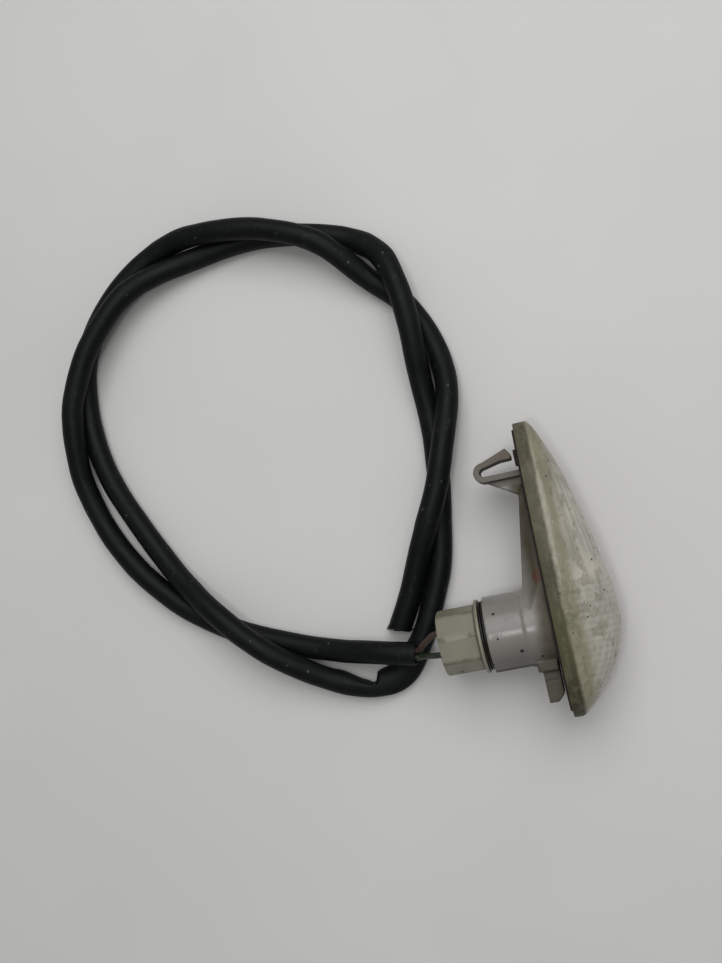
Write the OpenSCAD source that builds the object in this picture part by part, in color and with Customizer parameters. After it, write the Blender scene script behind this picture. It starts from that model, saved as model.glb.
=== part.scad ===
// Side repeater lamp with its bulb holder, two wires and a soft sleeve that lies in a loose loop.
// Lengths are in millimetres. The lamp keeps the frame it has when fitted:
// +X points out through the lens, +Y along the lens to its narrow tip, +Z up.
// z = 0 is the surface under the lens rim and under the sleeve.
// Inside the modules x is measured from the back of the lens rim, y from the middle of the lens
// and z from its axis. The module "placed" carries this frame to the row frame.

/* [Lens] */
// Length of the lens along Y
lens_length = 110; // [100:1:120]
// Height of the lens along Z
lens_width = 40; // [36:0.5:44]
// Radius of the narrow tip, seen from the front
lens_tip_r = 5.5; // [4.5:0.1:7]
// How far the widest place lies from the middle, towards the blunt end
lens_wide_at = 8; // [4:0.5:12]
// Depth of the straight skirt at the middle of the lens
skirt_depth = 4.2; // [3.8:0.1:5]
// How much the skirt gets deeper towards the tip, and shallower towards the blunt end
skirt_slope = 1; // [0:0.1:1.2]
// Wall of the skirt
skirt_wall = 1.8; // [1.5:0.1:2.2]
// Depth of the whole lens at its crown
crown_depth = 24; // [20:0.5:28]
// How far the crown lies from the middle, towards the blunt end
crown_at = 19; // [12:0.5:24]
// Roundness of the lens across its width: 0.5 is an ellipse, 1 is a parabola
crown_power = 0.6; // [0.5:0.05:0.9]
// Wall of the dome
lens_wall = 2.2; // [1.6:0.1:2.8]
// Depth of the recess that takes the housing flange
ledge_depth = 2.6; // [2.4:0.1:2.8]
// How much narrower the dome is inside than the outline, on each side
dome_inset = 3.6; // [3.3:0.1:4]

/* [Sealing] */
// Width of the sealant bead between skirt and flange
sealant_width = 0.5; // [0.3:0.1:0.8]
// How far the foam gasket stands out behind the rim
gasket_proud = 0.8; // [0.4:0.1:1]
// Gap between the gasket's outer edge and the skirt
gasket_gap = 0.4; // [0.2:0.1:0.6]
// Distance from the lens outline to the gasket's inner edge
gasket_inset = 4.6; // [4.2:0.1:4.7]
// Clearance between the gasket and the neck or its boss
gasket_clear = 0.2; // [0.1:0.05:0.4]
// Length of the foam pad beside the clip
pad_length = 6; // [4:0.5:7]
// Width of the foam pad along Z
pad_width = 5.6; // [4:0.2:6.5]
// How far the pad stands out behind the rim
pad_proud = 1.9; // [1:0.1:2.2]

/* [Housing] */
// Thickness of the housing flange
flange_thick = 1.8; // [1.4:0.1:2]
// How far the neck axis lies from the middle, towards the blunt end
neck_at = 20.2; // [19:0.1:21]
// Outer radius of the neck
neck_r = 14.1; // [13.6:0.1:14.3]
// How far the neck reaches behind the rim
neck_back = 24.4; // [23:0.1:26]
// Gap between the gasket's inner edge and the boss that the neck stands on
boss_gap = 0.3; // [0.25:0.05:0.6]
// How far the boss reaches behind the rim
boss_back = 10.4; // [9.8:0.1:11]
// Wall of the tray and the neck
housing_wall = 2; // [1.6:0.1:2.2]
// Radius of the tray's narrow end
tray_end_r = 6; // [5.4:0.1:6.4]
// Distance of the tray's narrow end from the middle of the lens
tray_end_at = 27; // [25:0.5:28]
// How far the tray reaches behind the rim at its wide end
tray_back = 10.8; // [10.5:0.1:11.5]
// How far the tray reaches behind the rim at its narrow end
tray_end_back = 3.2; // [2.8:0.1:3.8]
// Bevel of the tray's back where it is deepest, between neck and clip
tray_bevel = 6; // [4:0.1:6.4]
// Bevel of the tray's back round the neck
tray_neck_bevel = 1.5; // [1:0.1:2.5]
// Bevel of the tray's back at its narrow end
tray_end_bevel = 2.4; // [1.5:0.1:2.8]
// Place of the deepest bevel, from the middle of the lens towards the blunt end
tray_bevel_at = 5; // [2:0.5:8]
// How far the ledge reaches in from the outside of the neck's mouth
ledge_reach = 3.9; // [3.8:0.05:4]
// Thickness of that ledge
ledge_thick = 2; // [1.6:0.1:2.4]

/* [Clip and tongue] */
// Thickness of the clip's band
clip_band = 2.35; // [2:0.05:2.5]
// Width of the clip along Z
clip_width = 9; // [7:0.5:10]
// Centre of the clip's loop behind the rim
clip_loop_back = 14; // [12:0.5:16]
// Outer radius of the clip's loop
clip_loop_r = 3.85; // [3.6:0.05:4.1]
// Height of the loop's centre above the middle of the lens
clip_at = 38.85; // [38:0.05:39.5]
// Thickness of the gusset under the clip
gusset_width = 5; // [3:0.5:7]
// Slot between tongue and gasket, for the sheet that the lamp is fitted to
panel_slot = 0.8; // [0.6:0.1:1.2]
// How far the tongue reaches towards the blunt end, from the middle of the lens
tongue_end_at = 48; // [46:0.5:48]
// How far the tongue reaches behind the rim
tongue_back = 7.7; // [7:0.1:8.5]
// Width of the tongue along Z
tongue_width = 12; // [9:0.5:13]
// How far the shoulder that carries the tongue reaches past the boss
shoulder_reach = 1.8; // [1:0.1:2.4]
// Width of that shoulder along Z
shoulder_width = 16; // [14:0.5:18]

/* [Bulb holder] */
// Thickness of the seal between neck and holder
seal_thick = 2; // [1.6:0.1:2.4]
// How far the seal is set in from the neck's outside
seal_inset = 1.2; // [0.8:0.1:1.6]
// Thickness of the holder's flange
holder_flange = 1.2; // [1:0.1:1.6]
// How far the holder's flange is set in from the neck's outside
holder_inset = 0.4; // [0.2:0.1:0.8]
// Length of the eight-sided grip
grip_length = 14.8; // [12:0.1:17]
// Radius of the grip over its corners
grip_r = 12.3; // [11.8:0.1:12.8]
// Turn of the grip about its axis, from one corner up
grip_turn = -9; // [-15:1:15]
// Gap between the holder's barrel and the ledge in the neck
barrel_clear = 0.2; // [0.1:0.05:0.3]
// Play between the lugs and the ledge, along X
lug_play = 0.2; // [0.1:0.05:0.3]
// Distance of each wire port from the holder's axis
port_at = 4.1; // [3.8:0.1:4.2]
// Radius of the wire ports
port_r = 2.2; // [2.1:0.05:2.3]

/* [Bulb] */
// Radius of the bulb's glass
bulb_r = 5.1; // [4.8:0.1:5.2]
// Length of the whole bulb
bulb_length = 26.8; // [26:0.1:27.5]
// Length of its flat wedge
wedge_length = 9.6; // [9.4:0.1:9.8]
// Half thickness of the wedge
wedge_half = 2.6; // [2.5:0.05:2.7]
// Thickness of the bulb's wall
bulb_wall = 0.6; // [0.4:0.05:0.8]

/* [Cord] */
// Radius of the sleeve
sleeve_r = 4.5; // [4:0.1:5]
// Wall of the sleeve, as its open ends show it
sleeve_wall = 0.9; // [0.7:0.1:1.1]
// Depth of the open end that the wires go into
mouth_depth = 12; // [8:0.5:13]
// Radius of each wire
wire_r = 1.15; // [1:0.05:1.2]
// Radius of the bare strands in each wire
core_r = 0.45; // [0.35:0.05:0.5]

/* [Hidden] */
round_fn = 96;
small_fn = 48;
half_length = lens_length / 2;
half_width = lens_width / 2;

// The outline is one large arc on each side, a small arc at the tip and one at the blunt end.
tip_y = half_length - lens_tip_r;
side_r = ((tip_y + lens_wide_at) ^ 2 + half_width ^ 2 - lens_tip_r ^ 2)
    / (2 * (half_width - lens_tip_r));
side_z = half_width - side_r;
end_k = half_length - lens_wide_at;
end_r = (2 * side_r * half_width - half_width ^ 2 - end_k ^ 2) / (2 * (side_r - end_k));
end_y = end_r - half_length;
tip_angle = atan2(-side_z, tip_y + lens_wide_at);
end_angle = atan2(-side_z, end_y + lens_wide_at);
tip_steps = 5;
side_steps = 18;
end_steps = 9;

// Rise of the crown line along the lens: place along the half length, share of the full rise.
crown_line = [
    [1, 0], [0.95, 0.1], [0.87, 0.2], [0.76, 0.32], [0.65, 0.43], [0.55, 0.52], [0.4, 0.625],
    [0.25, 0.72], [0.09, 0.82], [-0.07, 0.905], [-0.22, 0.97], [-0.35, 1], [-0.45, 0.985],
    [-0.58, 0.9], [-0.71, 0.74], [-0.83, 0.525], [-0.91, 0.32], [-0.965, 0.15], [-1, 0]
];
full_rise = crown_depth - skirt_depth + skirt_slope * crown_at / half_length;
dome_shares = [0.99, 0.97, 0.94, 0.9, 0.84, 0.76, 0.66, 0.54, 0.4, 0.25, 0.12];

// The boss fills the gasket's ring at its place on the lens.
boss_r = half_width_at(-neck_at) - gasket_inset - boss_gap;

// Lengths along X behind the rim, from the neck to the back of the grip
seal_back = neck_back + seal_thick;
plate_back = seal_back + holder_flange;
grip_back = plate_back + grip_length;
seat_x = (grip_back - crown_depth) / 2;
flange_x = ledge_depth - flange_thick;
neck_wall = 3;
neck_bore_r = neck_r - neck_wall;
ledge_r = neck_r - ledge_reach;
barrel_r = ledge_r - barrel_clear;
lug_clear = 0.2;
lug_r = neck_bore_r - lug_clear;
lug_length = 2;
lug_width = 6;
notch_width = lug_width + 0.6;
cavity_lip = 0.4;
tray_step = 0.4;
side_dip = 0.1;
pad_at = clip_at + 0.35;
pad_web_inset = 1;
catch_x = 2.9;
gusset_knee = [-6.9, clip_at - 8.05];
port_recess_r = port_at + port_r + 1.3;
port_recess = 1.5;
groove_length = 9;
groove_width = 1.6;
groove_depth = 0.35;
barrel_front = 11;
socket_back = 21.8;
socket_half_y = 5.6;
strip_thick = 0.5;
lead_thick = 0.4;
socket_half_z = wedge_half + lead_thick + strip_thick;
wedge_back = barrel_front - 0.2 + wedge_length;
bulb_front = bulb_length - wedge_back;
bulb_centre = bulb_front - bulb_r;
lead_at = 2.6;
lead_r = 0.25;
filament_x = 0.5;
wire_in = 37.2;
core_in = 33;
crimp_r = 1.1;
port_seal_back = grip_back - 1.9;
port_seal_length = 3;
wire_seal_in = port_seal_back - port_seal_length;

// Route of the sleeve: middle of each ring in the row frame, from the mouth to the bare end.
sleeve_route = [
    [-44.5, -22.5, 14], [-58.5, -19.5, 12.5], [-71.5, -17, 8], [-85, -13.5, 5],
    [-98.5, -8.5, 4.5], [-111.5, -3, 4.5], [-124, 4, 4.5], [-135.5, 12.5, 4.5],
    [-145.5, 22.5, 4.5], [-154.5, 34, 4.5], [-161.5, 46.5, 4.5], [-166.5, 59.5, 4.5],
    [-169.5, 73.5, 7], [-168, 87, 11], [-166, 101, 13.5], [-160.5, 114, 14],
    [-154, 125.5, 14], [-145, 135.5, 13.5], [-135, 145, 11.5], [-122, 150, 8.5],
    [-108.5, 153, 5], [-94.5, 155, 4.5], [-80.5, 155.5, 4.5], [-66, 154, 4.5],
    [-52, 150.5, 4.5], [-38, 144.5, 5], [-28, 135.5, 10], [-24, 123, 13.5],
    [-22, 109, 14], [-22, 95, 12.5], [-22.5, 82, 7.5], [-22, 68, 4.5],
    [-22.5, 53.5, 4.5], [-24, 39, 4.5], [-26.5, 25, 4.5], [-29, 11, 4.5],
    [-34.5, -2, 4.5], [-40.5, -15, 4.5], [-50, -26, 4.5], [-62.5, -32, 4.5],
    [-76.5, -29, 5], [-88.5, -22, 8], [-99.5, -14, 12.5], [-110, -4.5, 14],
    [-119.5, 6, 13.5], [-128.5, 16.5, 10], [-137, 27.5, 5.5], [-144, 40, 4.5],
    [-150.5, 53, 4.5], [-156.5, 66, 4.5], [-160.5, 79.5, 4.5], [-162.5, 93.5, 4.5],
    [-162.5, 108, 4.5], [-160, 122, 4.5], [-153.5, 134.5, 4.5], [-144, 145.5, 4.5],
    [-132.5, 154.5, 4.5], [-119.5, 160.5, 5.5], [-106.5, 162, 9.5], [-92.5, 160, 12.5],
    [-78.5, 157.5, 13.5], [-65, 152.5, 14], [-52.5, 146, 13.5], [-43.5, 137, 10.5],
    [-34.5, 126, 5], [-24, 116.5, 4.5], [-17.5, 104, 4.5], [-13.5, 90.5, 4.5],
    [-12.5, 77, 8.5], [-15.5, 63.5, 12], [-20, 50, 13.5], [-24.5, 37, 13.5],
    [-31, 25, 13], [-37.5, 12.5, 9], [-43.5, -0.5, 6.5], [-51, -13, 4.5]
];
sleeve_sides = 10;
// The cut end is pressed flat: share of the radius left in height, and share gained in width.
flat_height = 0.75;
flat_width = 1.12;
// Free stretch of each wire from its port to the sleeve's mouth, in the row frame
brown_free = [[-36, -16.4, 19.4], [-39.2, -18.4, 17.2], [-42, -20.2, 15.2]];
green_free = [[-36, -24.2, 19.2], [-39.2, -24, 17], [-42, -23.8, 14.9]];
wire_sides = 8;

// Places and directions

module placed() {
    translate([seat_x, 0, half_width]) children();
}

module on_neck_axis() {
    translate([0, -neck_at, 0]) children();
}

// A solid along X between two distances from the rim, from a shape drawn in (y, z)
module slab_x(x0, x1) {
    translate([x0, 0, 0]) rotate([90, 0, 90]) linear_extrude(height = x1 - x0) children();
}

module rod_x(x0, x1, r, sides = round_fn) {
    translate([x0, 0, 0]) rotate([0, 90, 0]) cylinder(h = x1 - x0, r = r, $fn = sides);
}

module cone_x(x0, x1, r0, r1) {
    translate([x0, 0, 0]) rotate([0, 90, 0]) cylinder(h = x1 - x0, r1 = r0, r2 = r1, $fn = round_fn);
}

module box(low, high) {
    translate(low) cube(high - low);
}

// Outline of the lens, set in by a distance, as points (y, z) round from the tip

function arc_points(y, z, r, a0, a1, steps) =
    [for (i = [0:steps - 1]) let (a = a0 + (a1 - a0) * i / steps) [y + r * cos(a), z + r * sin(a)]];

function upper_outline(inset) = concat(
    arc_points(tip_y, 0, lens_tip_r - inset, 0, tip_angle, tip_steps),
    arc_points(-lens_wide_at, side_z, side_r - inset, tip_angle, end_angle, side_steps),
    arc_points(end_y, 0, end_r - inset, end_angle, 180, end_steps)
);

function outline(inset) = let (
    upper = upper_outline(inset),
    n = len(upper)
) concat(
    upper,
    [[-half_length + inset, 0]],
    [for (i = [n - 1:-1:1]) [upper[i][0], -upper[i][1]]]
);

module leaf(inset) {
    polygon(outline(inset));
}

// Surface of the lens

function half_width_at(y) = let (
    tip_join = tip_y + lens_tip_r * cos(tip_angle),
    end_join = end_y + end_r * cos(end_angle)
) y > tip_join ? sqrt(max(0, lens_tip_r ^ 2 - (y - tip_y) ^ 2))
    : y < end_join ? sqrt(max(0, end_r ^ 2 - (y - end_y) ^ 2))
    : sqrt(side_r ^ 2 - (y + lens_wide_at) ^ 2) + side_z;

function skirt_at(y) = skirt_depth + skirt_slope * y / half_length;

function crown_index(u, i = 0) =
    (i >= len(crown_line) - 2 || u >= crown_line[i + 1][0]) ? i : crown_index(u, i + 1);

function crown_slope(i) = let (
    a = crown_line[max(i - 1, 0)],
    b = crown_line[min(i + 1, len(crown_line) - 1)]
) (b[1] - a[1]) / (b[0] - a[0]);

// A smooth curve through the points of the crown line
function crown_share(u) = let (
    i = crown_index(u),
    a = crown_line[i],
    b = crown_line[i + 1],
    w = b[0] - a[0],
    t = (u - a[0]) / w,
    m0 = crown_slope(i) * w,
    m1 = crown_slope(i + 1) * w
) (2 * t ^ 3 - 3 * t ^ 2 + 1) * a[1] + (t ^ 3 - 2 * t ^ 2 + t) * m0
    + (3 * t ^ 2 - 2 * t ^ 3) * b[1] + (t ^ 3 - t ^ 2) * m1;

// The crown line moves with crown_at, and both ends stay where they are.
function crown_place(y) = let (
    u = y / half_length,
    c = -crown_at / half_length
) u > c ? -0.35 + (u - c) / (1 - c) * 1.35 : -0.35 + (u - c) / (1 + c) * 0.65;

function across(y, z) = let (w = half_width_at(y)) w < 0.01 ? 0 : max(0, 1 - (z / w) ^ 2);

function lens_x(y, z) = skirt_at(y)
    + full_rise * max(0, crown_share(crown_place(y))) * across(y, z) ^ crown_power;

function toward_crown(p, share) = [-crown_at + (p[0] + crown_at) * share, p[1] * share];

function inner_x(p) = max(ledge_depth + cavity_lip, lens_x(p[0], p[1]) - lens_wall);

function ring_at(points, x) = [for (p = points) [x, p[0], p[1]]];

function dome_ring(points, share) =
    [for (p = points) let (q = toward_crown(p, share)) [lens_x(q[0], q[1]), q[0], q[1]]];

function cavity_ring(points, share) =
    [for (p = points) let (q = toward_crown(p, share)) [inner_x(q), q[0], q[1]]];

// One closed solid through a row of rings of equal size, with a point at each end

module skin(first_point, rings, last_point) {
    n = len(rings[0]);
    m = len(rings);
    points = concat([first_point], [for (ring = rings) for (p = ring) p], [last_point]);
    last = m * n + 1;
    polyhedron(
        points = points,
        faces = concat(
            [for (i = [0:n - 1]) [0, 1 + (i + 1) % n, 1 + i]],
            [for (k = [0:m - 2]) for (i = [0:n - 1])
                [1 + k * n + i, 1 + k * n + (i + 1) % n, 1 + (k + 1) * n + (i + 1) % n]],
            [for (k = [0:m - 2]) for (i = [0:n - 1])
                [1 + k * n + i, 1 + (k + 1) * n + (i + 1) % n, 1 + (k + 1) * n + i]],
            [for (i = [0:n - 1]) [last, 1 + (m - 1) * n + i, 1 + (m - 1) * n + (i + 1) % n]]
        ),
        convexity = 10
    );
}

// Tubes along a route

function unit(v) = v / norm(v);

function route_direction(route, i) =
    unit(route[min(i + 1, len(route) - 1)] - route[max(i - 1, 0)]);

// A ring across the route at point c, seen along direction t, with its own width and height
function tube_ring(c, t, wide, high, sides) = let (
    side = unit(cross(t, [0, 0, 1])),
    top = cross(side, t)
) [for (i = [0:sides - 1]) let (a = 360 * (i + 0.5) / sides)
    c + side * (wide * cos(a)) + top * (high * sin(a))];

function route_rings(route, r, sides) =
    [for (i = [0:len(route) - 1]) tube_ring(route[i], route_direction(route, i), r, r, sides)];

module plain_tube(route, r, sides) {
    skin(route[0], route_rings(route, r, sides), route[len(route) - 1]);
}

// Lens and what seals it

module lens_shape() {
    rim = outline(0);
    mouth = outline(skirt_wall);
    inner = outline(dome_inset);
    skirt_top = [for (p = rim) [skirt_at(p[0]), p[0], p[1]]];
    rings = concat(
        [for (i = [len(dome_shares) - 1:-1:0]) dome_ring(rim, dome_shares[i])],
        [skirt_top, ring_at(rim, 0), ring_at(mouth, 0), ring_at(mouth, ledge_depth)],
        [ring_at(inner, ledge_depth)],
        [cavity_ring(inner, 1)],
        [for (share = dome_shares) cavity_ring(inner, share)]
    );
    skin(
        [lens_x(-crown_at, 0), -crown_at, 0],
        rings,
        [lens_x(-crown_at, 0) - lens_wall, -crown_at, 0]
    );
}

module lens() {
    color([0.78, 0.76, 0.7, 0.6]) placed() lens_shape();
}

module lens_sealant() {
    color([0.55, 0.5, 0.38]) placed()
        slab_x(flange_x + 0.2, ledge_depth) difference() {
            leaf(skirt_wall);
            leaf(skirt_wall + sealant_width);
        }
}

module panel_gasket() {
    color([0.07, 0.065, 0.06]) placed() {
        slab_x(-gasket_proud, flange_x) gasket_outline();
        // Pad between the clip and the rim
        box([-pad_proud, pad_at, -pad_width / 2], [flange_x, pad_at + pad_length, pad_width / 2]);
    }
}

// A ring that clears the neck, with a web across its narrow end under the pad
module gasket_outline() {
    outer = skirt_wall + gasket_gap;
    web = [pad_length - 2 * pad_web_inset, lens_width];
    difference() {
        leaf(outer);
        difference() {
            leaf(gasket_inset);
            translate([pad_at + pad_web_inset, -web[1] / 2]) square(web);
        }
        translate([-neck_at, 0]) circle(r = max(neck_r, boss_r) + gasket_clear, $fn = round_fn);
    }
}

// Housing

// Tray with a sloping back: wide about the neck and narrow at the clip end. Its bevelled edge is
// small round the neck, grows beside it and gets smaller again towards the narrow end.
// Its straight middle is let in a little at both round ends, so that no two faces only touch.
module tray(shrink, front) {
    big = boss_r - tray_step - shrink;
    small = tray_end_r - shrink;
    big_back = shrink - tray_back;
    small_back = shrink - tray_end_back;
    lean = asin((big - small) / (neck_at + tray_end_at));
    big_y = -neck_at + big * sin(lean);
    small_y = tray_end_at + small * sin(lean);
    big_z = big * cos(lean) - side_dip;
    small_z = small * cos(lean) - side_dip;
    way = (-tray_bevel_at - big_y) / (small_y - big_y);
    middle_z = big_z + (small_z - big_z) * way;
    middle_back = big_back + (small_back - big_back) * way + side_dip;
    end = front - side_dip;
    translate([0, -neck_at, 0]) round_end(big, big_back, tray_neck_bevel, front);
    translate([0, tray_end_at, 0]) round_end(small, small_back, tray_end_bevel, front);
    tray_middle([
        tray_section(big_y, big_z, big_back + side_dip, tray_neck_bevel, end),
        tray_section(-tray_bevel_at, middle_z, middle_back, tray_bevel, end),
        tray_section(small_y, small_z, small_back + side_dip, tray_end_bevel, end)
    ]);
}

module round_end(r, back, bevel, front) {
    cone_x(back, back + bevel, r - bevel, r);
    rod_x(back + bevel, front, r);
}

function tray_section(y, z, back, bevel, front) = [
    [front, y, z], [back + bevel, y, z], [back, y, z - bevel],
    [back, y, bevel - z], [back + bevel, y, -z], [front, y, -z]
];

module tray_middle(sections) {
    n = len(sections[0]);
    last = (len(sections) - 1) * n;
    polyhedron(
        points = [for (section = sections) for (p = section) p],
        faces = concat(
            [[for (i = [n - 1:-1:0]) i], [for (i = [0:n - 1]) last + i]],
            [for (k = [0:n:last - 1]) for (i = [0:n - 1]) [k + i, k + (i + 1) % n, k + n + (i + 1) % n]],
            [for (k = [0:n:last - 1]) for (i = [0:n - 1]) [k + i, k + n + (i + 1) % n, k + n + i]]
        )
    );
}

module clip_profile() {
    inner_r = clip_loop_r - clip_band;
    low = clip_at - clip_loop_r;
    high = clip_at + clip_loop_r;
    // Loop: the half away from the rim
    difference() {
        translate([-clip_loop_back, clip_at]) circle(r = clip_loop_r, $fn = small_fn);
        translate([-clip_loop_back, clip_at]) circle(r = inner_r, $fn = small_fn);
        translate([-clip_loop_back, low - 1]) square([clip_loop_r + 1, 2 * clip_loop_r + 2]);
    }
    // Fixed arm, down to the flange
    translate([-clip_loop_back, low]) square([clip_loop_back + flange_x + 0.5, clip_band]);
    // Free arm, thicker towards its end, with a slanted catch
    polygon([
        [-clip_loop_back, high], [-clip_loop_back, high - clip_band], [-catch_x - 4.6, high - 0.9],
        [-catch_x, high - 0.8], [-catch_x, high + 1], [-catch_x - 1.5, high + 3.5]
    ]);
}

module clip() {
    translate([0, 0, -clip_width / 2]) linear_extrude(height = clip_width) clip_profile();
    // Gusset between the fixed arm and the back of the tray
    translate([0, 0, -gusset_width / 2]) linear_extrude(height = gusset_width)
        polygon([
            [-clip_loop_back, clip_at - clip_loop_r + 0.1], [flange_x + 0.5, clip_at - clip_loop_r + 0.1],
            [flange_x + 0.5, tray_end_at], [-2.4, tray_end_at + 1], gusset_knee,
            [-clip_loop_back + 0.2, clip_at - clip_loop_r]
        ]);
}

module tongue() {
    front = -gasket_proud - panel_slot;
    difference() {
        translate([0, 0, -tongue_width / 2]) linear_extrude(height = tongue_width)
            polygon([
                [-tongue_back, -neck_at - 12], [front, -neck_at - 12], [front, -tongue_end_at + 2.4],
                [-4, -tongue_end_at], [-tongue_back + 0.3, -tongue_end_at]
            ]);
        // Moulded step across both faces
        for (side = [-1, 1])
            translate([-5.2, -tongue_end_at + 7.9, side * tongue_width / 2])
                cube([5, 0.8, 0.8], center = true);
    }
    // Shoulder under the boss, which carries the tongue
    box(
        [-tongue_back - 1.4, -neck_at - boss_r - shoulder_reach, -shoulder_width / 2],
        [front, -neck_at - 8, shoulder_width / 2]
    );
}

module housing_shape() {
    difference() {
        union() {
            slab_x(flange_x, ledge_depth) leaf(skirt_wall + sealant_width);
            tray(0, ledge_depth - 0.5);
            on_neck_axis() rod_x(-boss_back, ledge_depth - 0.4, boss_r);
            on_neck_axis() rod_x(-neck_back, ledge_depth - 0.3, neck_r);
            clip();
            tongue();
        }
        // Hollow of the tray, open towards the lens
        tray(housing_wall, ledge_depth + 1);
        // Bore of the neck, its ledge and the three notches for the lugs
        on_neck_axis() {
            rod_x(-neck_back + ledge_thick, ledge_depth + 1, neck_bore_r);
            rod_x(-neck_back - 1, -neck_back + ledge_thick + 1, ledge_r);
            intersection() {
                rod_x(-neck_back - 1, -neck_back + ledge_thick + 0.5, neck_bore_r);
                for (a = [0, 120, 240])
                    rotate([a, 0, 0]) box([-neck_back - 1, 0, -notch_width / 2],
                        [-neck_back + ledge_thick + 2, neck_bore_r + 1, notch_width / 2]);
            }
        }
    }
}

module housing() {
    color([0.49, 0.475, 0.455]) placed() housing_shape();
}

// Bulb holder

module holder_shape() {
    difference() {
        union() {
            on_neck_axis() {
                rod_x(-plate_back, -seal_back, neck_r - holder_inset);
                rod_x(-seal_back - 0.1, -barrel_front, barrel_r);
                rotate([grip_turn, 0, 0]) intersection() {
                    rod_x(-grip_back, -plate_back + 0.1, grip_r, 8);
                    cone_x(-grip_back, -grip_back + 22, grip_r - 0.7, grip_r + 18);
                }
                // Lugs that lock behind the ledge, turned away from its notches
                intersection() {
                    rod_x(-neck_back + ledge_thick + lug_play,
                        -neck_back + ledge_thick + lug_play + lug_length, lug_r);
                    for (a = [60, 180, 300])
                        rotate([a, 0, 0]) box([-neck_back, 0, -lug_width / 2], [0, lug_r + 1, lug_width / 2]);
                }
            }
        }
        on_neck_axis() {
            box([-socket_back, -socket_half_y, -socket_half_z],
                [-barrel_front + 1, socket_half_y, socket_half_z]);
            for (side = [-1, 1])
                translate([0, side * port_at, 0]) rod_x(-grip_back - 1, -socket_back + 0.1, port_r, small_fn);
            // Shallow recess round the ports
            rod_x(-grip_back - 1, -grip_back + port_recess, port_recess_r);
            // Fine grooves along the grip's top and bottom corners
            rotate([grip_turn, 0, 0]) for (side = [-1, 1])
                translate([-grip_back + grip_length / 2, 0, side * grip_r])
                    cube([groove_length, groove_width, 2 * groove_depth], center = true);
        }
    }
}

module holder_body() {
    color([0.51, 0.5, 0.43]) placed() holder_shape();
}

module holder_seal() {
    color([0.05, 0.045, 0.04]) placed() on_neck_axis() difference() {
        rod_x(-seal_back, -neck_back, neck_r - seal_inset);
        rod_x(-seal_back - 1, -neck_back + 1, barrel_r);
    }
}

// A terminal: crimp round the strands, a bar, a riser and a strip beside the bulb's lead
module terminal(side) {
    y = side * port_at;
    strip_z = wedge_half + lead_thick;
    riser = [-socket_back + 0.05, -socket_back + 0.05 + strip_thick];
    on_neck_axis() {
        difference() {
            translate([0, y, 0]) rod_x(-core_in - 3.4, -core_in, crimp_r, small_fn);
            translate([0, y, 0]) rod_x(-core_in - 4, -core_in + 0.1, core_r, small_fn);
        }
        box([-core_in, y - 1, -strip_thick / 2], [riser[1], y + 1, strip_thick / 2]);
        box(
            [riser[0], y - 1, side > 0 ? -strip_thick / 2 : -strip_z - strip_thick],
            [riser[1], y + 1, side > 0 ? strip_z + strip_thick : strip_thick / 2]
        );
        box(
            [riser[0], y - 1, side > 0 ? strip_z : -strip_z - strip_thick],
            [-13.5, y + 1, side > 0 ? strip_z + strip_thick : -strip_z]
        );
    }
}

module terminal_live() {
    color([0.72, 0.55, 0.25]) placed() terminal(1);
}

module terminal_earth() {
    color([0.72, 0.55, 0.25]) placed() terminal(-1);
}

module wire_seal(side) {
    on_neck_axis() translate([0, side * port_at, 0]) difference() {
        rod_x(-port_seal_back, -wire_seal_in, port_r, small_fn);
        rod_x(-port_seal_back - 1, -wire_seal_in + 1, wire_r, small_fn);
    }
}

module wire_seal_live() {
    color([0.12, 0.11, 0.1]) placed() wire_seal(1);
}

module wire_seal_earth() {
    color([0.12, 0.11, 0.1]) placed() wire_seal(-1);
}

// Bulb

module bulb_glass_shape() {
    on_neck_axis() difference() {
        union() {
            rod_x(-barrel_front + 0.2, bulb_centre, bulb_r);
            translate([bulb_centre, 0, 0]) sphere(r = bulb_r, $fn = round_fn);
            box([-wedge_back, -4.9, -wedge_half], [-barrel_front + 1, 4.9, wedge_half]);
        }
        rod_x(-8.6, bulb_centre, bulb_r - bulb_wall);
        translate([bulb_centre, 0, 0]) sphere(r = bulb_r - bulb_wall, $fn = round_fn);
        for (side = [-1, 1])
            translate([0, side * lead_at, 0]) rod_x(-wedge_back - 1, -8, lead_r, small_fn);
    }
}

module bulb_glass() {
    color([0.8, 0.6, 0.3, 0.5]) placed() bulb_glass_shape();
}

module bulb_bead() {
    color([0.75, 0.8, 0.78, 0.6]) placed() on_neck_axis() difference() {
        box([-3.4, -3.4, -0.7], [-2.2, 3.4, 0.7]);
        for (side = [-1, 1])
            translate([0, side * lead_at, 0]) rod_x(-4, 0, lead_r, small_fn);
    }
}

module bulb_filament() {
    color([0.3, 0.3, 0.32]) placed() on_neck_axis() difference() {
        translate([filament_x - 0.25, -lead_at, 0]) rotate([-90, 0, 0])
            cylinder(h = 2 * lead_at, r = 0.18, $fn = small_fn);
        for (side = [-1, 1])
            translate([0, side * lead_at, 0]) rod_x(filament_x - 1, filament_x + 1, lead_r, small_fn);
    }
}

// A lead comes out under the wedge, bends round its edge and lies on its flat face.
module bulb_lead(side) {
    outer = wedge_back + lead_thick;
    top = wedge_half + lead_thick;
    far = side * port_at;
    ends_y = [side * (lead_at - lead_r), far + side * lead_r];
    on_neck_axis() {
        translate([0, side * lead_at, 0]) rod_x(-wedge_back - 0.1, filament_x, lead_r, small_fn);
        box(
            [-outer, min(ends_y), side > 0 ? -lead_r : -top],
            [-wedge_back, max(ends_y), side > 0 ? top : lead_r]
        );
        box(
            [-outer, far - lead_r, side > 0 ? wedge_half : -top],
            [-14, far + lead_r, side > 0 ? top : -wedge_half]
        );
    }
}

module bulb_lead_live() {
    color([0.6, 0.58, 0.52]) placed() bulb_lead(1);
}

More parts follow.
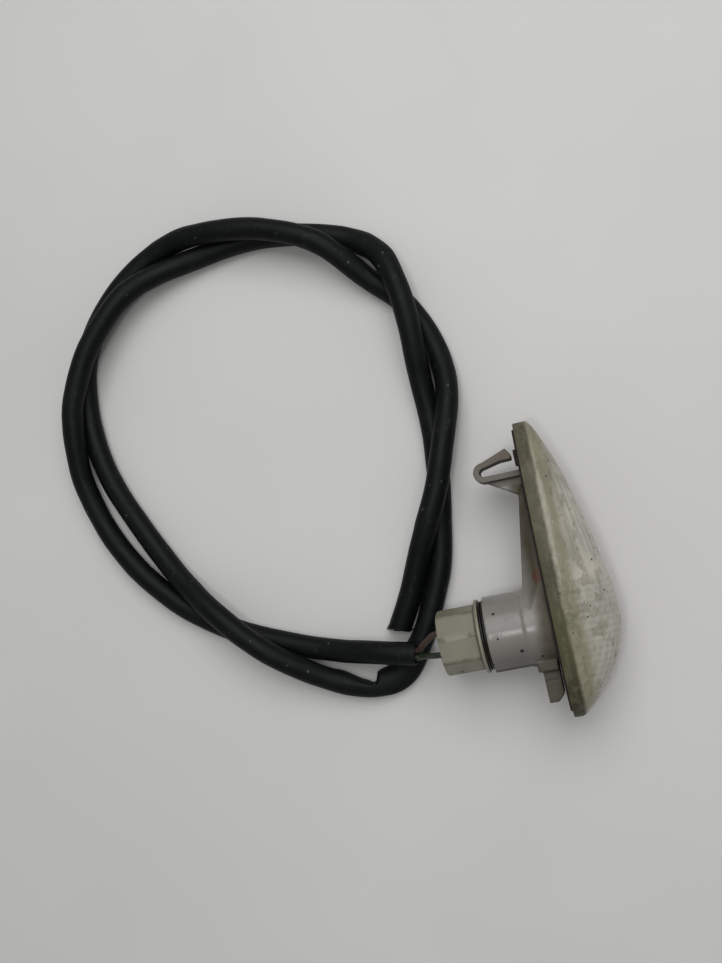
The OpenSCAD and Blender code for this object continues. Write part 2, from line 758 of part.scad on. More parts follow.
module bulb_lead_earth() {
    color([0.6, 0.58, 0.52]) placed() bulb_lead(-1);
}

// Wires and sleeve

module core(side) {
    on_neck_axis() translate([0, side * port_at, 0]) rod_x(-wire_in, -core_in, core_r, small_fn);
}

module core_live() {
    color([0.65, 0.38, 0.22]) placed() core(1);
}

module core_earth() {
    color([0.65, 0.38, 0.22]) placed() core(-1);
}

// A wire: straight in its port, then along its free stretch and into the sleeve's mouth
module wire(side, free) {
    port_y = -neck_at + side * port_at;
    mouth = sleeve_route[0];
    way = unit(sleeve_route[1] - sleeve_route[0]);
    lift = cross(unit(cross(way, [0, 0, 1])), way);
    across_mouth = unit(cross(way, [0, 0, 1]));
    place = across_mouth * (side * (wire_r + 0.15));
    route = concat(
        [[seat_x - grip_back + 1, port_y, half_width]],
        free,
        [mouth + place, mouth + place + way * mouth_depth]
    );
    plain_tube(route, wire_r, wire_sides);
    placed() on_neck_axis() translate([0, side * port_at, 0])
        rod_x(-grip_back + 0.9, -wire_in, wire_r, small_fn);
}

module wire_brown() {
    color([0.42, 0.3, 0.25]) wire(1, brown_free);
}

module wire_green() {
    color([0.22, 0.24, 0.18]) wire(-1, green_free);
}

module sleeve_shape() {
    n = len(sleeve_route);
    first = sleeve_route[0];
    last = sleeve_route[n - 1];
    way = unit(sleeve_route[1] - first);
    end_way = unit(last - sleeve_route[n - 2]);
    bore = sleeve_r - sleeve_wall;
    deep = first + way * mouth_depth;
    end_centre = [last[0], last[1], sleeve_r * flat_height];
    end_deep = end_centre - end_way * 4;
    rings = concat(
        [tube_ring(deep, way, bore, bore, sleeve_sides)],
        [tube_ring(first, way, bore, bore, sleeve_sides)],
        [for (i = [0:n - 2])
            tube_ring(sleeve_route[i], route_direction(sleeve_route, i), sleeve_r, sleeve_r, sleeve_sides)],
        [tube_ring(end_centre, end_way, sleeve_r * flat_width, sleeve_r * flat_height, sleeve_sides)],
        [tube_ring(end_centre, end_way, sleeve_r * flat_width - sleeve_wall,
            sleeve_r * flat_height - sleeve_wall, sleeve_sides)],
        [tube_ring(end_deep, end_way, sleeve_r * flat_width - sleeve_wall - 0.2,
            sleeve_r * flat_height - sleeve_wall - 0.2, sleeve_sides)]
    );
    skin(deep, rings, end_deep);
}

module sleeve() {
    color([0.06, 0.065, 0.06]) sleeve_shape();
}

lens();
lens_sealant();
housing();
panel_gasket();
holder_body();
holder_seal();
terminal_live();
terminal_earth();
wire_seal_live();
wire_seal_earth();
bulb_glass();
bulb_bead();
bulb_filament();
bulb_lead_live();
bulb_lead_earth();
core_live();
core_earth();
wire_brown();
wire_green();
sleeve();
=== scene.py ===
"""Looks of the side repeater lamp: lens, housing, bulb holder, wires and a soft sleeve in a loop.

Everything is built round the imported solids, in their frame and in metres: +X out through the lens,
+Y along the lens to its narrow tip, +Z up from the surface that the lamp lies on.
"""

import math

import bmesh
import bpy
from bpy.props import FloatProperty, FloatVectorProperty, IntProperty, PointerProperty
from mathutils import Matrix, Vector, noise


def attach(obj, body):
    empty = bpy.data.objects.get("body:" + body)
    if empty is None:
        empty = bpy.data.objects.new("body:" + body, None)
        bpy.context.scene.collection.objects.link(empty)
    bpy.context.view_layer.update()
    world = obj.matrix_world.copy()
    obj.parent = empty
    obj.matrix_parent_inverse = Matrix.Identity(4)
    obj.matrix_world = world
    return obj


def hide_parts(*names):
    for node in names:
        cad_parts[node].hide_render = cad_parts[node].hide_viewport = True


bl_info = {
    "name": "Side repeater lamp",
    "version": (1, 0, 0),
    "blender": (4, 5, 0),
    "location": "View3D > Sidebar > Lamp",
    "description": "Builds the looks of a side repeater lamp round its packed solids",
    "category": "Object",
}

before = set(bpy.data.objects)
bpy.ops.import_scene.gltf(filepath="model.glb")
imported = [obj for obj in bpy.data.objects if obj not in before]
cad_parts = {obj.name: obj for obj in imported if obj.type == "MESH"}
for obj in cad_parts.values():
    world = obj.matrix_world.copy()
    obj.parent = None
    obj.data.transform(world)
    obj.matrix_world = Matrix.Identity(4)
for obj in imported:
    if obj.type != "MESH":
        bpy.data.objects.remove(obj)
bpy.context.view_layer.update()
BODY = "root"
MM = 0.001

# Sizes and shares that the solids have too, lengths in millimetres. LAMP_X and AXIS_Z carry the
# lamp's own frame, with x = 0 at the back of the lens rim and z = 0 on its axis, to the row's.
LAMP_X = 9.2
AXIS_Z = 20.0
LENS_LENGTH = 110.0
LENS_WIDTH = 40.0
LENS_TIP_R = 5.5
LENS_WIDE_AT = 8.0
SKIRT_DEPTH = 4.2
SKIRT_SLOPE = 1.0
SKIRT_WALL = 1.8
CROWN_DEPTH = 24.0
CROWN_AT = 19.0
CROWN_POWER = 0.6
LENS_WALL = 2.2
LEDGE_DEPTH = 2.6
DOME_INSET = 3.6
CROWN_LINE = [
    (1, 0), (0.95, 0.1), (0.87, 0.2), (0.76, 0.32), (0.65, 0.43), (0.55, 0.52), (0.4, 0.625),
    (0.25, 0.72), (0.09, 0.82), (-0.07, 0.905), (-0.22, 0.97), (-0.35, 1), (-0.45, 0.985),
    (-0.58, 0.9), (-0.71, 0.74), (-0.83, 0.525), (-0.91, 0.32), (-0.965, 0.15), (-1, 0),
]
NECK_Y = -20.2
NECK_R = 14.1
NECK_BACK = 24.4
SEAL_BACK = 26.4
PORT_AT = 4.1
GRIP_BACK = 42.4
WIRE_IN = 37.2
WIRE_R = 1.15
SLEEVE_R = 4.5
SLEEVE_WALL = 0.9
MOUTH_DEPTH = 12.0
FLAT_WIDTH = 1.12
FLAT_HEIGHT = 0.75
BARREL_R = 10.0

# Where the flutes begin along the lens and where flutes and pillows have their whole height, and
# how finely the lens and the wires are divided
FLUTES_FROM = -4
FLUTES_FULL = 8
PILLOWS_FULL = -10
SKIN_RINGS = 46
PATTERN_RINGS = 110
PATTERN_BACK_RINGS = 30
PATTERN_STEPS = (14, 130, 40)
WIRE_SIDES = 18

TO_TIP, TO_BLUNT, DOWN = (0.0, 1.0, 0.0), (0.0, -1.0, 0.0), (0.0, 0.0, -1.0)

# The routes are the ones that the solids follow.
SLEEVE_ROUTE = [
    (-44.5, -22.5, 14), (-58.5, -19.5, 12.5), (-71.5, -17, 8), (-85, -13.5, 5),
    (-98.5, -8.5, 4.5), (-111.5, -3, 4.5), (-124, 4, 4.5), (-135.5, 12.5, 4.5),
    (-145.5, 22.5, 4.5), (-154.5, 34, 4.5), (-161.5, 46.5, 4.5), (-166.5, 59.5, 4.5),
    (-169.5, 73.5, 7), (-168, 87, 11), (-166, 101, 13.5), (-160.5, 114, 14),
    (-154, 125.5, 14), (-145, 135.5, 13.5), (-135, 145, 11.5), (-122, 150, 8.5),
    (-108.5, 153, 5), (-94.5, 155, 4.5), (-80.5, 155.5, 4.5), (-66, 154, 4.5),
    (-52, 150.5, 4.5), (-38, 144.5, 5), (-28, 135.5, 10), (-24, 123, 13.5),
    (-22, 109, 14), (-22, 95, 12.5), (-22.5, 82, 7.5), (-22, 68, 4.5),
    (-22.5, 53.5, 4.5), (-24, 39, 4.5), (-26.5, 25, 4.5), (-29, 11, 4.5),
    (-34.5, -2, 4.5), (-40.5, -15, 4.5), (-50, -26, 4.5), (-62.5, -32, 4.5),
    (-76.5, -29, 5), (-88.5, -22, 8), (-99.5, -14, 12.5), (-110, -4.5, 14),
    (-119.5, 6, 13.5), (-128.5, 16.5, 10), (-137, 27.5, 5.5), (-144, 40, 4.5),
    (-150.5, 53, 4.5), (-156.5, 66, 4.5), (-160.5, 79.5, 4.5), (-162.5, 93.5, 4.5),
    (-162.5, 108, 4.5), (-160, 122, 4.5), (-153.5, 134.5, 4.5), (-144, 145.5, 4.5),
    (-132.5, 154.5, 4.5), (-119.5, 160.5, 5.5), (-106.5, 162, 9.5), (-92.5, 160, 12.5),
    (-78.5, 157.5, 13.5), (-65, 152.5, 14), (-52.5, 146, 13.5), (-43.5, 137, 10.5),
    (-34.5, 126, 5), (-24, 116.5, 4.5), (-17.5, 104, 4.5), (-13.5, 90.5, 4.5),
    (-12.5, 77, 8.5), (-15.5, 63.5, 12), (-20, 50, 13.5), (-24.5, 37, 13.5),
    (-31, 25, 13), (-37.5, 12.5, 9), (-43.5, -0.5, 6.5), (-51, -13, 4.5),
]
BROWN_FREE = [(-36, -16.4, 19.4), (-39.2, -18.4, 17.2), (-42, -20.2, 15.2)]
GREEN_FREE = [(-36, -24.2, 19.2), (-39.2, -24, 17), (-42, -23.8, 14.9)]

# Where the sleeve is pressed flat and where it is folded, at the bottom of the loop near point 39
# of its route. The push moves the route there. A bend presses the sleeve from an angle on, given
# in radians; the shares say how much wider and lower it is in tight bends and at the flat place.
# The last five are the fold's sizes.
FLAT_AT = (-54, -28, 4.5)
FOLD_AT = (-64.2, -31.8, 4.5)
FOLD_POINT = 39
FOLD_PUSH = (0.8, -1.3, 0)
BEND_FROM = 0.22
BEND_OVER = 0.3
BEND_PRESS = 0.15
FLAT_WIDER = 0.12
FLAT_LOWER = 0.13
FOLD_BEFORE = 2
FOLD_AFTER = 15
FOLD_DEPTH = 4.2
CREASE_HALF = 1.8
CREASE_DEPTH = 0.8

# The photograph's camera: the picture's height and the focal length in pixels, its place and axes
SENSOR = 36.0
PICTURE_HEIGHT = 963.0
FOCAL_LENGTH = 1100.0
CAMERA_AT = (0.022977, 0.000366, 0.432844)
CAMERA_RIGHT = (0.96154931, -0.19360476, -0.19478226)
CAMERA_UP = (0.210477, 0.97510241, 0.06981921)
CAMERA_BACK = (0.17641532, -0.1081318, 0.97835839)


# Sizes and colours that a user would change

def color_of(name, description, default):
    return FloatVectorProperty(name=name, description=description, subtype="COLOR", size=3,
                               min=0, max=1, default=default)


def length_of(name, description, default, low, high):
    """A length that is given in millimetres here and kept in metres."""
    return FloatProperty(name=name, description=description, subtype="DISTANCE", unit="LENGTH",
                         default=default * MM, min=low * MM, max=high * MM)


def power_of(name, description, default):
    return FloatProperty(name=name, description=description, unit="POWER", default=default, min=0)


class LampStageSettings(bpy.types.PropertyGroup):
    floor_color: color_of("Floor colour", "Colour of the table that the lamp lies on",
                          (0.582, 0.575, 0.563))
    window_power: power_of("Window power", "Power of the large soft light", 5.8)
    overhead_power: power_of("Overhead power", "Power of the small light that draws highlights", 0.42)
    sky_strength: FloatProperty(
        name="Sky strength", description="Strength of the even light from all round",
        default=0.355, min=0, max=1)


class LampLensSettings(bpy.types.PropertyGroup):
    face_color: color_of("Face colour", "Hazy face of the lens", (0.635, 0.605, 0.53))
    skirt_color: color_of("Skirt colour", "Grimy skirt round the lens", (0.10, 0.091, 0.031))
    skin_depth: length_of("Skin depth", "Depth of the clear skin over the pattern", 1.0, 0.4, 1.6)
    flute_depth: length_of("Flute depth", "Depth of the flutes that run to the tip", 0.3, 0, 0.6)
    flutes: IntProperty(
        name="Flutes", description="Flutes across the lens", default=15, min=5, max=31)
    pillow_pitch: length_of("Pillow pitch", "Distance from one moulded pillow to the next", 2.3, 1.2, 5)
    pillow_depth: length_of("Pillow depth", "Height of the pillows at the blunt end", 0.4, 0, 0.6)


class LampHousingSettings(bpy.types.PropertyGroup):
    plastic_color: color_of("Plastic colour", "Moulded grey plastic", (0.176, 0.17, 0.153))
    # Brown stain beside the gasket, darkened further as painted shade of the tray's side
    stain_and_shade_color: color_of("Stain colour", "Brown film beside the gasket", (0.06, 0.049, 0.029))
    voxel: length_of("Voxel", "Grid that the edges of the moulding are rounded on", 0.36, 0.25, 1)


class LampHolderSettings(bpy.types.PropertyGroup):
    plastic_color: color_of("Plastic colour", "Moulded olive-grey plastic", (0.18, 0.173, 0.13))
    rubber_color: color_of("Rubber colour", "Seal between neck and holder", (0.008, 0.007, 0.006))
    voxel: length_of("Voxel", "Grid that the edges of the moulding are rounded on", 0.27, 0.2, 1)


class LampSleeveSettings(bpy.types.PropertyGroup):
    sleeve_color: color_of("Sleeve colour", "Black sleeve", (0.0022, 0.0034, 0.0031))
    scuff_color: color_of("Scuff colour", "Dust and scuffs on the sleeve", (0.10, 0.105, 0.095))
    brown_color: color_of("Brown wire", "Colour of the first wire", (0.045, 0.026, 0.019))
    green_color: color_of("Green wire", "Colour of the second wire", (0.014, 0.022, 0.012))
    sides: IntProperty(
        name="Sides", description="Faces round the sleeve", default=28, min=8, max=64)
    steps: IntProperty(
        name="Steps", description="Rings between two points of the route", default=10, min=2, max=16)


# Meshes

def row(x, y, z):
    """A point of the lamp's own frame, in millimetres, as a point of the row's frame in metres."""
    return Vector(((x + LAMP_X) * MM, y * MM, (z + AXIS_Z) * MM))


def lamp_x(x):
    """A millimetre place along the lamp's own X as a metre place in the row's frame."""
    return (LAMP_X + x) * MM


def new_object(name, data):
    made = bpy.data.objects.new(name, data)
    bpy.context.scene.collection.objects.link(made)
    return made


def limited(value, low=0.0):
    """A value that stays between low and 1."""
    return min(1.0, max(low, value))


def mesh_object(name, points, faces, material, smooth_angle=40.0):
    """A new piece from points and faces, smooth but for edges sharper than smooth_angle."""
    mesh = bpy.data.meshes.new(name)
    mesh.from_pydata([tuple(p) for p in points], [], faces)
    mesh.validate()
    piece = new_object(name, mesh)
    finish_piece(piece, material, smooth_angle)
    return piece


def finish_piece(piece, material, smooth_angle=40.0):
    """Normals, shading, material and body of a piece."""
    work = bmesh.new()
    work.from_mesh(piece.data)
    bmesh.ops.recalc_face_normals(work, faces=work.faces)
    for edge in work.edges:
        edge.smooth = len(edge.link_faces) == 2 and edge.calc_face_angle(0) < math.radians(smooth_angle)
    for face in work.faces:
        face.smooth = True
    work.to_mesh(piece.data)
    work.free()
    piece.data.materials.clear()
    piece.data.materials.append(material)
    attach(piece, BODY)


def skin_faces(rings, count):
    """Faces of a skin over rings of count points each; the end rings close to single points."""
    faces = []
    for k in range(rings - 1):
        for i in range(count):
            j = (i + 1) % count
            a, b = k * count, (k + 1) * count
            faces.append((a + i, a + j, b + j, b + i))
    first, last = rings * count, rings * count + 1
    top = (rings - 1) * count
    faces += [(first, (i + 1) % count, i) for i in range(count)]
    faces += [(last, top + i, top + (i + 1) % count) for i in range(count)]
    return faces


def tube(name, rings, ends, material, smooth_angle):
    """A piece with a skin over rings of as many points each, closed by a point at either end."""
    points = [p for ring in rings for p in ring] + ends
    faces = skin_faces(len(rings), len(rings[0]))
    return mesh_object(name, points, faces, material, smooth_angle)


def lathe(profile, count, material, name):
    """A closed ring round the neck's axis, from a closed profile of (x, radius) pairs."""
    points, faces = [], []
    steps = len(profile)
    for i in range(count):
        a = 2 * math.pi * i / count
        points += [row(x, NECK_Y + r * math.cos(a), r * math.sin(a)) for x, r in profile]
    for i in range(count):
        a, b = i * steps, (i + 1) % count * steps
        for k in range(steps):
            m = (k + 1) % steps
            faces.append((a + k, a + m, b + m, b + k))
    return mesh_object(name, points, faces, material)


def smooth_route(route, steps):
    """Points along a smooth curve through all points of a route, in metres."""
    p = [Vector(q) * MM for q in route]
    p = [p[0] * 2 - p[1]] + p + [p[-1] * 2 - p[-2]]
    out = []
    for i in range(1, len(p) - 2):
        for k in range(steps):
            t = k / steps
            a, b, c, d = p[i - 1], p[i], p[i + 1], p[i + 2]
            out.append(0.5 * (2 * b + (c - a) * t + (2 * a - 5 * b + 4 * c - d) * t * t
                              + (3 * b - a - 3 * c + d) * t ** 3))
    return out + [p[-2].copy()]


def relaxed(path, rounds):
    """The same path with its small corners taken off; its ends stay."""
    for _ in range(rounds):
        between = [(a + b * 2 + c) / 4 for a, b, c in zip(path, path[1:], path[2:])]
        path = [path[0], *between, path[-1]]
    return path


def direction_at(path, i):
    return (path[min(i + 1, len(path) - 1)] - path[max(i - 1, 0)]).normalized()


def nearness(point, place, reach):
    """1 at a place and less away from it, over a reach; both are in millimetres."""
    return math.exp(-((point - Vector(place) * MM).length / (reach * MM)) ** 2)


def level_side(way):
    """The level direction square to a route's direction."""
    return way.cross(Vector((0, 0, 1))).normalized()


def ring_at(centre, way, wide, high, count):
    """Points round a route, wide across it and high upwards."""
    side = level_side(way)
    top = side.cross(way)
    return [centre + side * (wide * math.cos(a)) + top * (high * math.sin(a))
            for a in (2 * math.pi * (i + 0.5) / count for i in range(count))]


def applied(piece):
    """The piece with its modifiers applied."""
    graph = bpy.context.evaluated_depsgraph_get()
    mesh = bpy.data.meshes.new_from_object(piece.evaluated_get(graph))
    old = piece.data
    piece.modifiers.clear()
    piece.data = mesh
    mesh.name = piece.name
    bpy.data.meshes.remove(old)
    return piece


def rounded_copy(node, name, voxel, rounds, keep_share):
    """A copy of a solid with its edges rounded as moulded plastic has them."""
    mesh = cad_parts[node].data.copy()
    piece = new_object(name, mesh)
    work = bmesh.new()
    work.from_mesh(mesh)
    bmesh.ops.remove_doubles(work, verts=work.verts, dist=1e-7)
    work.to_mesh(mesh)
    work.free()
    remesh = piece.modifiers.new("Grid", "REMESH")
    remesh.mode = "VOXEL"
    remesh.voxel_size = voxel
    soften = piece.modifiers.new("Soften", "SMOOTH")
    soften.factor = 0.5
    soften.iterations = rounds
    thin = piece.modifiers.new("Thin", "DECIMATE")
    thin.ratio = keep_share
    return applied(piece)


# Shape of the lens, the same as that of the solid

def outline_arcs():
    """The arcs of half the outline, from the tip on: centre y and z, radius, first and last angle."""
    tip_y = LENS_LENGTH / 2 - LENS_TIP_R
    half = LENS_WIDTH / 2
    side_r = ((tip_y + LENS_WIDE_AT) ** 2 + half ** 2 - LENS_TIP_R ** 2) / (2 * (half - LENS_TIP_R))
    k = LENS_LENGTH / 2 - LENS_WIDE_AT
    end_r = (2 * side_r * half - half ** 2 - k ** 2) / (2 * (side_r - k))
    side_z = half - side_r
    end_y = end_r - LENS_LENGTH / 2
    tip_angle = math.atan2(-side_z, tip_y + LENS_WIDE_AT)
    end_angle = math.atan2(-side_z, end_y + LENS_WIDE_AT)
    return ((tip_y, 0, LENS_TIP_R, 0, tip_angle), (-LENS_WIDE_AT, side_z, side_r, tip_angle, end_angle),
            (end_y, 0, end_r, end_angle, math.pi))


ARCS = outline_arcs()


def outline(inset, steps=(14, 84, 26)):
    """Points (y, z) round the lens from its tip, set in by a distance."""
    upper = []
    for (y, z, r, a0, a1), n in zip(ARCS, steps):
        for i in range(n):
            a = a0 + (a1 - a0) * i / n
            upper.append((y + (r - inset) * math.cos(a), z + (r - inset) * math.sin(a)))
    lower = [(y, -z) for y, z in upper[:0:-1]]
    return upper + [(-LENS_LENGTH / 2 + inset, 0.0)] + lower


def half_width(y):
    """Half the width of the lens at a place along it."""
    (tip_y, _, tip_r, _, tip_angle), (wide_y, side_z, side_r, _, _), blunt = ARCS
    end_y, _, end_r, end_angle, _ = blunt
    if y > tip_y + tip_r * math.cos(tip_angle):
        return math.sqrt(max(0.0, tip_r ** 2 - (y - tip_y) ** 2))
    if y < end_y + end_r * math.cos(end_angle):
        return math.sqrt(max(0.0, end_r ** 2 - (y - end_y) ** 2))
    return math.sqrt(side_r ** 2 - (y - wide_y) ** 2) + side_z


def skirt_at(y):
    """Depth of the skirt, which is deepest at the tip."""
    return SKIRT_DEPTH + SKIRT_SLOPE * y / (LENS_LENGTH / 2)


def crown_share(u):
    """Smooth curve through the points of the crown line."""
    line = CROWN_LINE
    i = 0
    while i < len(line) - 2 and u < line[i + 1][0]:
        i += 1

    def slope(k):
        a, b = line[max(k - 1, 0)], line[min(k + 1, len(line) - 1)]
        return (b[1] - a[1]) / (b[0] - a[0])

    w = line[i + 1][0] - line[i][0]
    t = (u - line[i][0]) / w
    return ((2 * t ** 3 - 3 * t ** 2 + 1) * line[i][1] + (t ** 3 - 2 * t ** 2 + t) * slope(i) * w
            + (3 * t ** 2 - 2 * t ** 3) * line[i + 1][1] + (t ** 3 - t ** 2) * slope(i + 1) * w)


def crown_place(y):
    """The place on the crown line that belongs to a place along the lens."""
    u = y / (LENS_LENGTH / 2)
    c = -CROWN_AT / (LENS_LENGTH / 2)
    return -0.35 + (u - c) / (1 - c) * 1.35 if u > c else -0.35 + (u - c) / (1 + c) * 0.65


FULL_RISE = CROWN_DEPTH - SKIRT_DEPTH + SKIRT_SLOPE * CROWN_AT / (LENS_LENGTH / 2)


def lens_x(y, z):
    """Outside of the lens at a place (y, z)."""
    w = half_width(y)
    share = 0.0 if w < 0.01 else max(0.0, 1 - (z / w) ** 2)
    return skirt_at(y) + FULL_RISE * max(0.0, crown_share(crown_place(y))) * share ** CROWN_POWER


def shrunk(points, share):
    """Points (y, z) drawn in toward the crown."""
    return [(-CROWN_AT + (y + CROWN_AT) * share, z * share) for y, z in points]


def dome_shares(count):
    """Shares from the rim of the dome to its crown, closest together near the rim."""
    return [1 - (i / count) ** 1.7 for i in range(1, count)]


def inner_x(y, z, depth):
    """A surface at a depth under the outside, as far as the ledge allows."""
    return max(LEDGE_DEPTH + 0.4, lens_x(y, z) - depth)


# Node trees

class Tree:
    """A small hand for building node trees: each node is placed one step to the right."""

    def __init__(self, tree):
        self.tree = tree
        self.x = 0

    def node(self, kind, inputs=None, **settings):
        made = self.tree.nodes.new(kind)
        made.location = (self.x, 0)
        self.x += 180
        for key, value in settings.items():
            setattr(made, key, value)
        for key, value in (inputs or {}).items():
            self.put(made.inputs[key], value)
        return made

    def put(self, socket, value):
        if isinstance(value, bpy.types.NodeSocket):
            self.tree.links.new(value, socket)
        else:
            socket.default_value = value

    def math(self, operation, a, b=0.0, clamp=False):
        made = self.node("ShaderNodeMath", operation=operation, use_clamp=clamp)
        self.put(made.inputs[0], a)
        self.put(made.inputs[1], b)
        return made.outputs[0]

    def times(self, value, *others):
        for other in others:
            value = self.math("MULTIPLY", value, other)
        return value

    def vector(self, operation, a, b, output=0):
        made = self.node("ShaderNodeVectorMath", operation=operation, inputs={0: a, 1: b})
        return made.outputs[output]

    def cloud(self, place, scale, detail=3.0):
        inputs = {"Vector": place, "Scale": scale, "Detail": detail}
        return self.node("ShaderNodeTexNoise", inputs=inputs).outputs["Fac"]

    def waver(self, place, scale, size):
        """A length that wanders between about minus and plus size over the surface."""
        return self.times(self.math("SUBTRACT", self.cloud(place, scale), 0.5), self.times(size, 2.0))

    def place(self):
        """The place of a point of the surface, in metres."""
        return self.node("ShaderNodeTexCoord").outputs["Object"]

    def split(self, vector):
        """The three numbers of a place or direction."""
        return self.node("ShaderNodeSeparateXYZ", inputs={0: vector}).outputs[:]

    def mix(self, factor, a, b):
        """Colour a, with colour b over it where factor is 1."""
        made = self.node("ShaderNodeMix", data_type="RGBA")
        self.put(made.inputs[0], factor)
        self.put(made.inputs[6], opaque(a))
        self.put(made.inputs[7], opaque(b))
        return made.outputs[2]

    def coat(self, base, mask, share, color):
        """The base colour, with a share of another colour over it where mask is 1."""
        return self.mix(self.times(mask, share), base, color)

    def blend(self, factor, a, b):
        """Number a, with number b over it where factor is 1."""
        made = self.node("ShaderNodeMix", data_type="FLOAT")
        self.put(made.inputs[0], factor)
        self.put(made.inputs[2], a)
        self.put(made.inputs[3], b)
        return made.outputs[0]

    def span(self, value, low, high, out_low=0.0, out_high=1.0):
        """A value stretched from low..high to out_low..out_high, smooth at both ends."""
        made = self.node("ShaderNodeMapRange", interpolation_type="SMOOTHSTEP")
        for k, v in enumerate((value, low, high, out_low, out_high)):
            self.put(made.inputs[k], v)
        return made.outputs[0]

    def group(self, name, **inputs):
        """The one output of a shared effect."""
        tree = bpy.data.node_groups[name]
        return self.node("ShaderNodeGroup", node_tree=tree, inputs=inputs).outputs[0]

    def spot(self, place, radius, soft, ragged):
        """One round mark, with its place and sizes in millimetres."""
        return self.group("Spot", Place=tuple(c * MM for c in place), Radius=radius * MM,
                          Soft=soft * MM, Ragged=ragged * MM)


def opaque(color):
    return color if isinstance(color, bpy.types.NodeSocket) else (*color[:3], 1.0)


def effect(name, output, **inputs):
    """A new shader node group with one float output: its tree, its inputs and the place node."""
    group = bpy.data.node_groups.new(name, "ShaderNodeTree")
    for label, default in inputs.items():
        kind = "NodeSocketVector" if isinstance(default, tuple) else "NodeSocketFloat"
        socket = group.interface.new_socket(name=label, in_out="INPUT", socket_type=kind)
        socket.default_value = default
    group.interface.new_socket(name=output, in_out="OUTPUT", socket_type="NodeSocketFloat")
    tree = Tree(group)
    return tree, tree.node("NodeGroupInput").outputs, tree.place()


def effect_end(tree, value):
    end = tree.node("NodeGroupOutput")
    tree.put(end.inputs[0], value)


def build_effects():
    """Shared effects. Scales are in cells per metre, places in metres in the row's frame."""
    # Patches of dirt or dust with soft edges
    tree, given, place = effect("Grime", "Mask", Scale=200.0, Low=0.45, High=0.7, Detail=6.0,
                                Seed=0.0)
    cloud = tree.node("ShaderNodeTexNoise", noise_dimensions="4D",
                      inputs={"Vector": place, "Scale": given["Scale"], "Detail": given["Detail"],
                              "Roughness": 0.62, "W": given["Seed"]})
    effect_end(tree, tree.span(cloud.outputs["Fac"], given["Low"], given["High"]))

    # Sparse round specks
    tree, given, place = effect("Specks", "Mask", Scale=400.0, Size=0.2, Share=0.2, Seed=0.0)
    moved = tree.vector("ADD", place, given["Seed"])
    cells = tree.node("ShaderNodeTexVoronoi", feature="F1",
                      inputs={"Vector": moved, "Scale": given["Scale"]})
    lots = tree.node("ShaderNodeSeparateColor", inputs={"Color": cells.outputs["Color"]})
    chosen = tree.math("LESS_THAN", lots.outputs[0], given["Share"])
    wide = tree.times(given["Size"], lots.outputs[1])
    far = tree.math("DIVIDE", cells.outputs["Distance"], tree.math("ADD", wide, 0.02))
    near = tree.math("SUBTRACT", 1.0, far, clamp=True)
    effect_end(tree, tree.times(chosen, tree.span(near, 0.0, 0.35)))

    # Fine broken lines that run mostly one way
    tree, given, place = effect("Scratches", "Mask", Turn=(0.0, 0.0, 0.0), Stretch=(1.0, 1.0, 1.0),
                                Scale=300.0, Width=0.03, Share=0.5, Seed=0.0)
    turned = tree.node("ShaderNodeMapping", vector_type="POINT",
                       inputs={"Vector": place, "Rotation": given["Turn"], "Scale": given["Stretch"]})
    moved = tree.vector("ADD", turned.outputs[0], given["Seed"])
    lines = tree.node("ShaderNodeTexVoronoi", feature="DISTANCE_TO_EDGE",
                      inputs={"Vector": moved, "Scale": given["Scale"]})
    line = tree.span(lines.outputs["Distance"], 0.0, given["Width"], 1.0, 0.0)
    broken = tree.math("LESS_THAN", tree.cloud(place, 260.0), given["Share"])
    effect_end(tree, tree.times(line, broken))

    # A band across one direction, with wavering edges
    tree, given, place = effect("Band", "Mask", Direction=(1.0, 0.0, 0.0), From=0.0, To=0.01,
                                Soft=0.001, Waver=0.0005, Scale=150.0)
    far = tree.vector("DOT_PRODUCT", place, given["Direction"], "Value")
    at = tree.math("ADD", far, tree.waver(place, given["Scale"], given["Waver"]))
    rise = tree.span(at, given["From"], tree.math("ADD", given["From"], given["Soft"]))
    fall = tree.span(at, given["To"], tree.math("ADD", given["To"], given["Soft"]), 1.0, 0.0)
    effect_end(tree, tree.times(rise, fall))

    # Flutes toward the tip and rows of pillows at the blunt end, as the lens has them on its inside
    tree, given, place = effect("Moulding", "Mask", Flutes=15.0, Pitch=0.0023)
    _, y, z = tree.split(place)
    _, (wide_y, side_z, side_r, _, _), _ = ARCS
    across = tree.math("SUBTRACT", z, AXIS_Z * MM)
    along = tree.math("SUBTRACT", y, wide_y * MM)
    square = tree.math("SUBTRACT", (side_r * MM) ** 2, tree.times(along, along))
    reach = tree.math("SQRT", square)
    share = tree.math("DIVIDE", across, tree.math("ADD", reach, side_z * MM))
    turns = tree.times(tree.math("ADD", share, 1.0), tree.times(given["Flutes"], math.pi))
    flute = tree.math("MULTIPLY_ADD", tree.math("COSINE", turns), -0.5)
    tree.put(flute.node.inputs[2], 0.5)
    rows = tree.math("DIVIDE", tree.times(y, math.pi), given["Pitch"])
    columns = tree.math("DIVIDE", tree.times(across, math.pi), given["Pitch"])
    columns = tree.math("ADD", columns, math.pi / 2)
    grid = tree.times(tree.math("SINE", rows), tree.math("SINE", columns))
    pillow = tree.math("SQRT", tree.math("ABSOLUTE", grid))
    start = FLUTES_FROM * MM
    flutes = tree.times(flute, tree.span(y, start, FLUTES_FULL * MM))
    pillows = tree.times(pillow, tree.span(y, PILLOWS_FULL * MM, start, 1.0, 0.0))
    effect_end(tree, tree.math("ADD", flutes, pillows))

    # One round mark at a place, with an uneven edge
    tree, given, place = effect("Spot", "Mask", Place=(0.0, 0.0, 0.0), Radius=0.0006, Soft=0.0003,
                                Ragged=0.0004)
    away = tree.vector("DISTANCE", place, given["Place"], "Value")
    at = tree.math("ADD", away, tree.waver(place, 700.0, given["Ragged"]))
    outside = tree.math("ADD", given["Radius"], given["Soft"])
    effect_end(tree, tree.span(at, given["Radius"], outside, 1.0, 0.0))

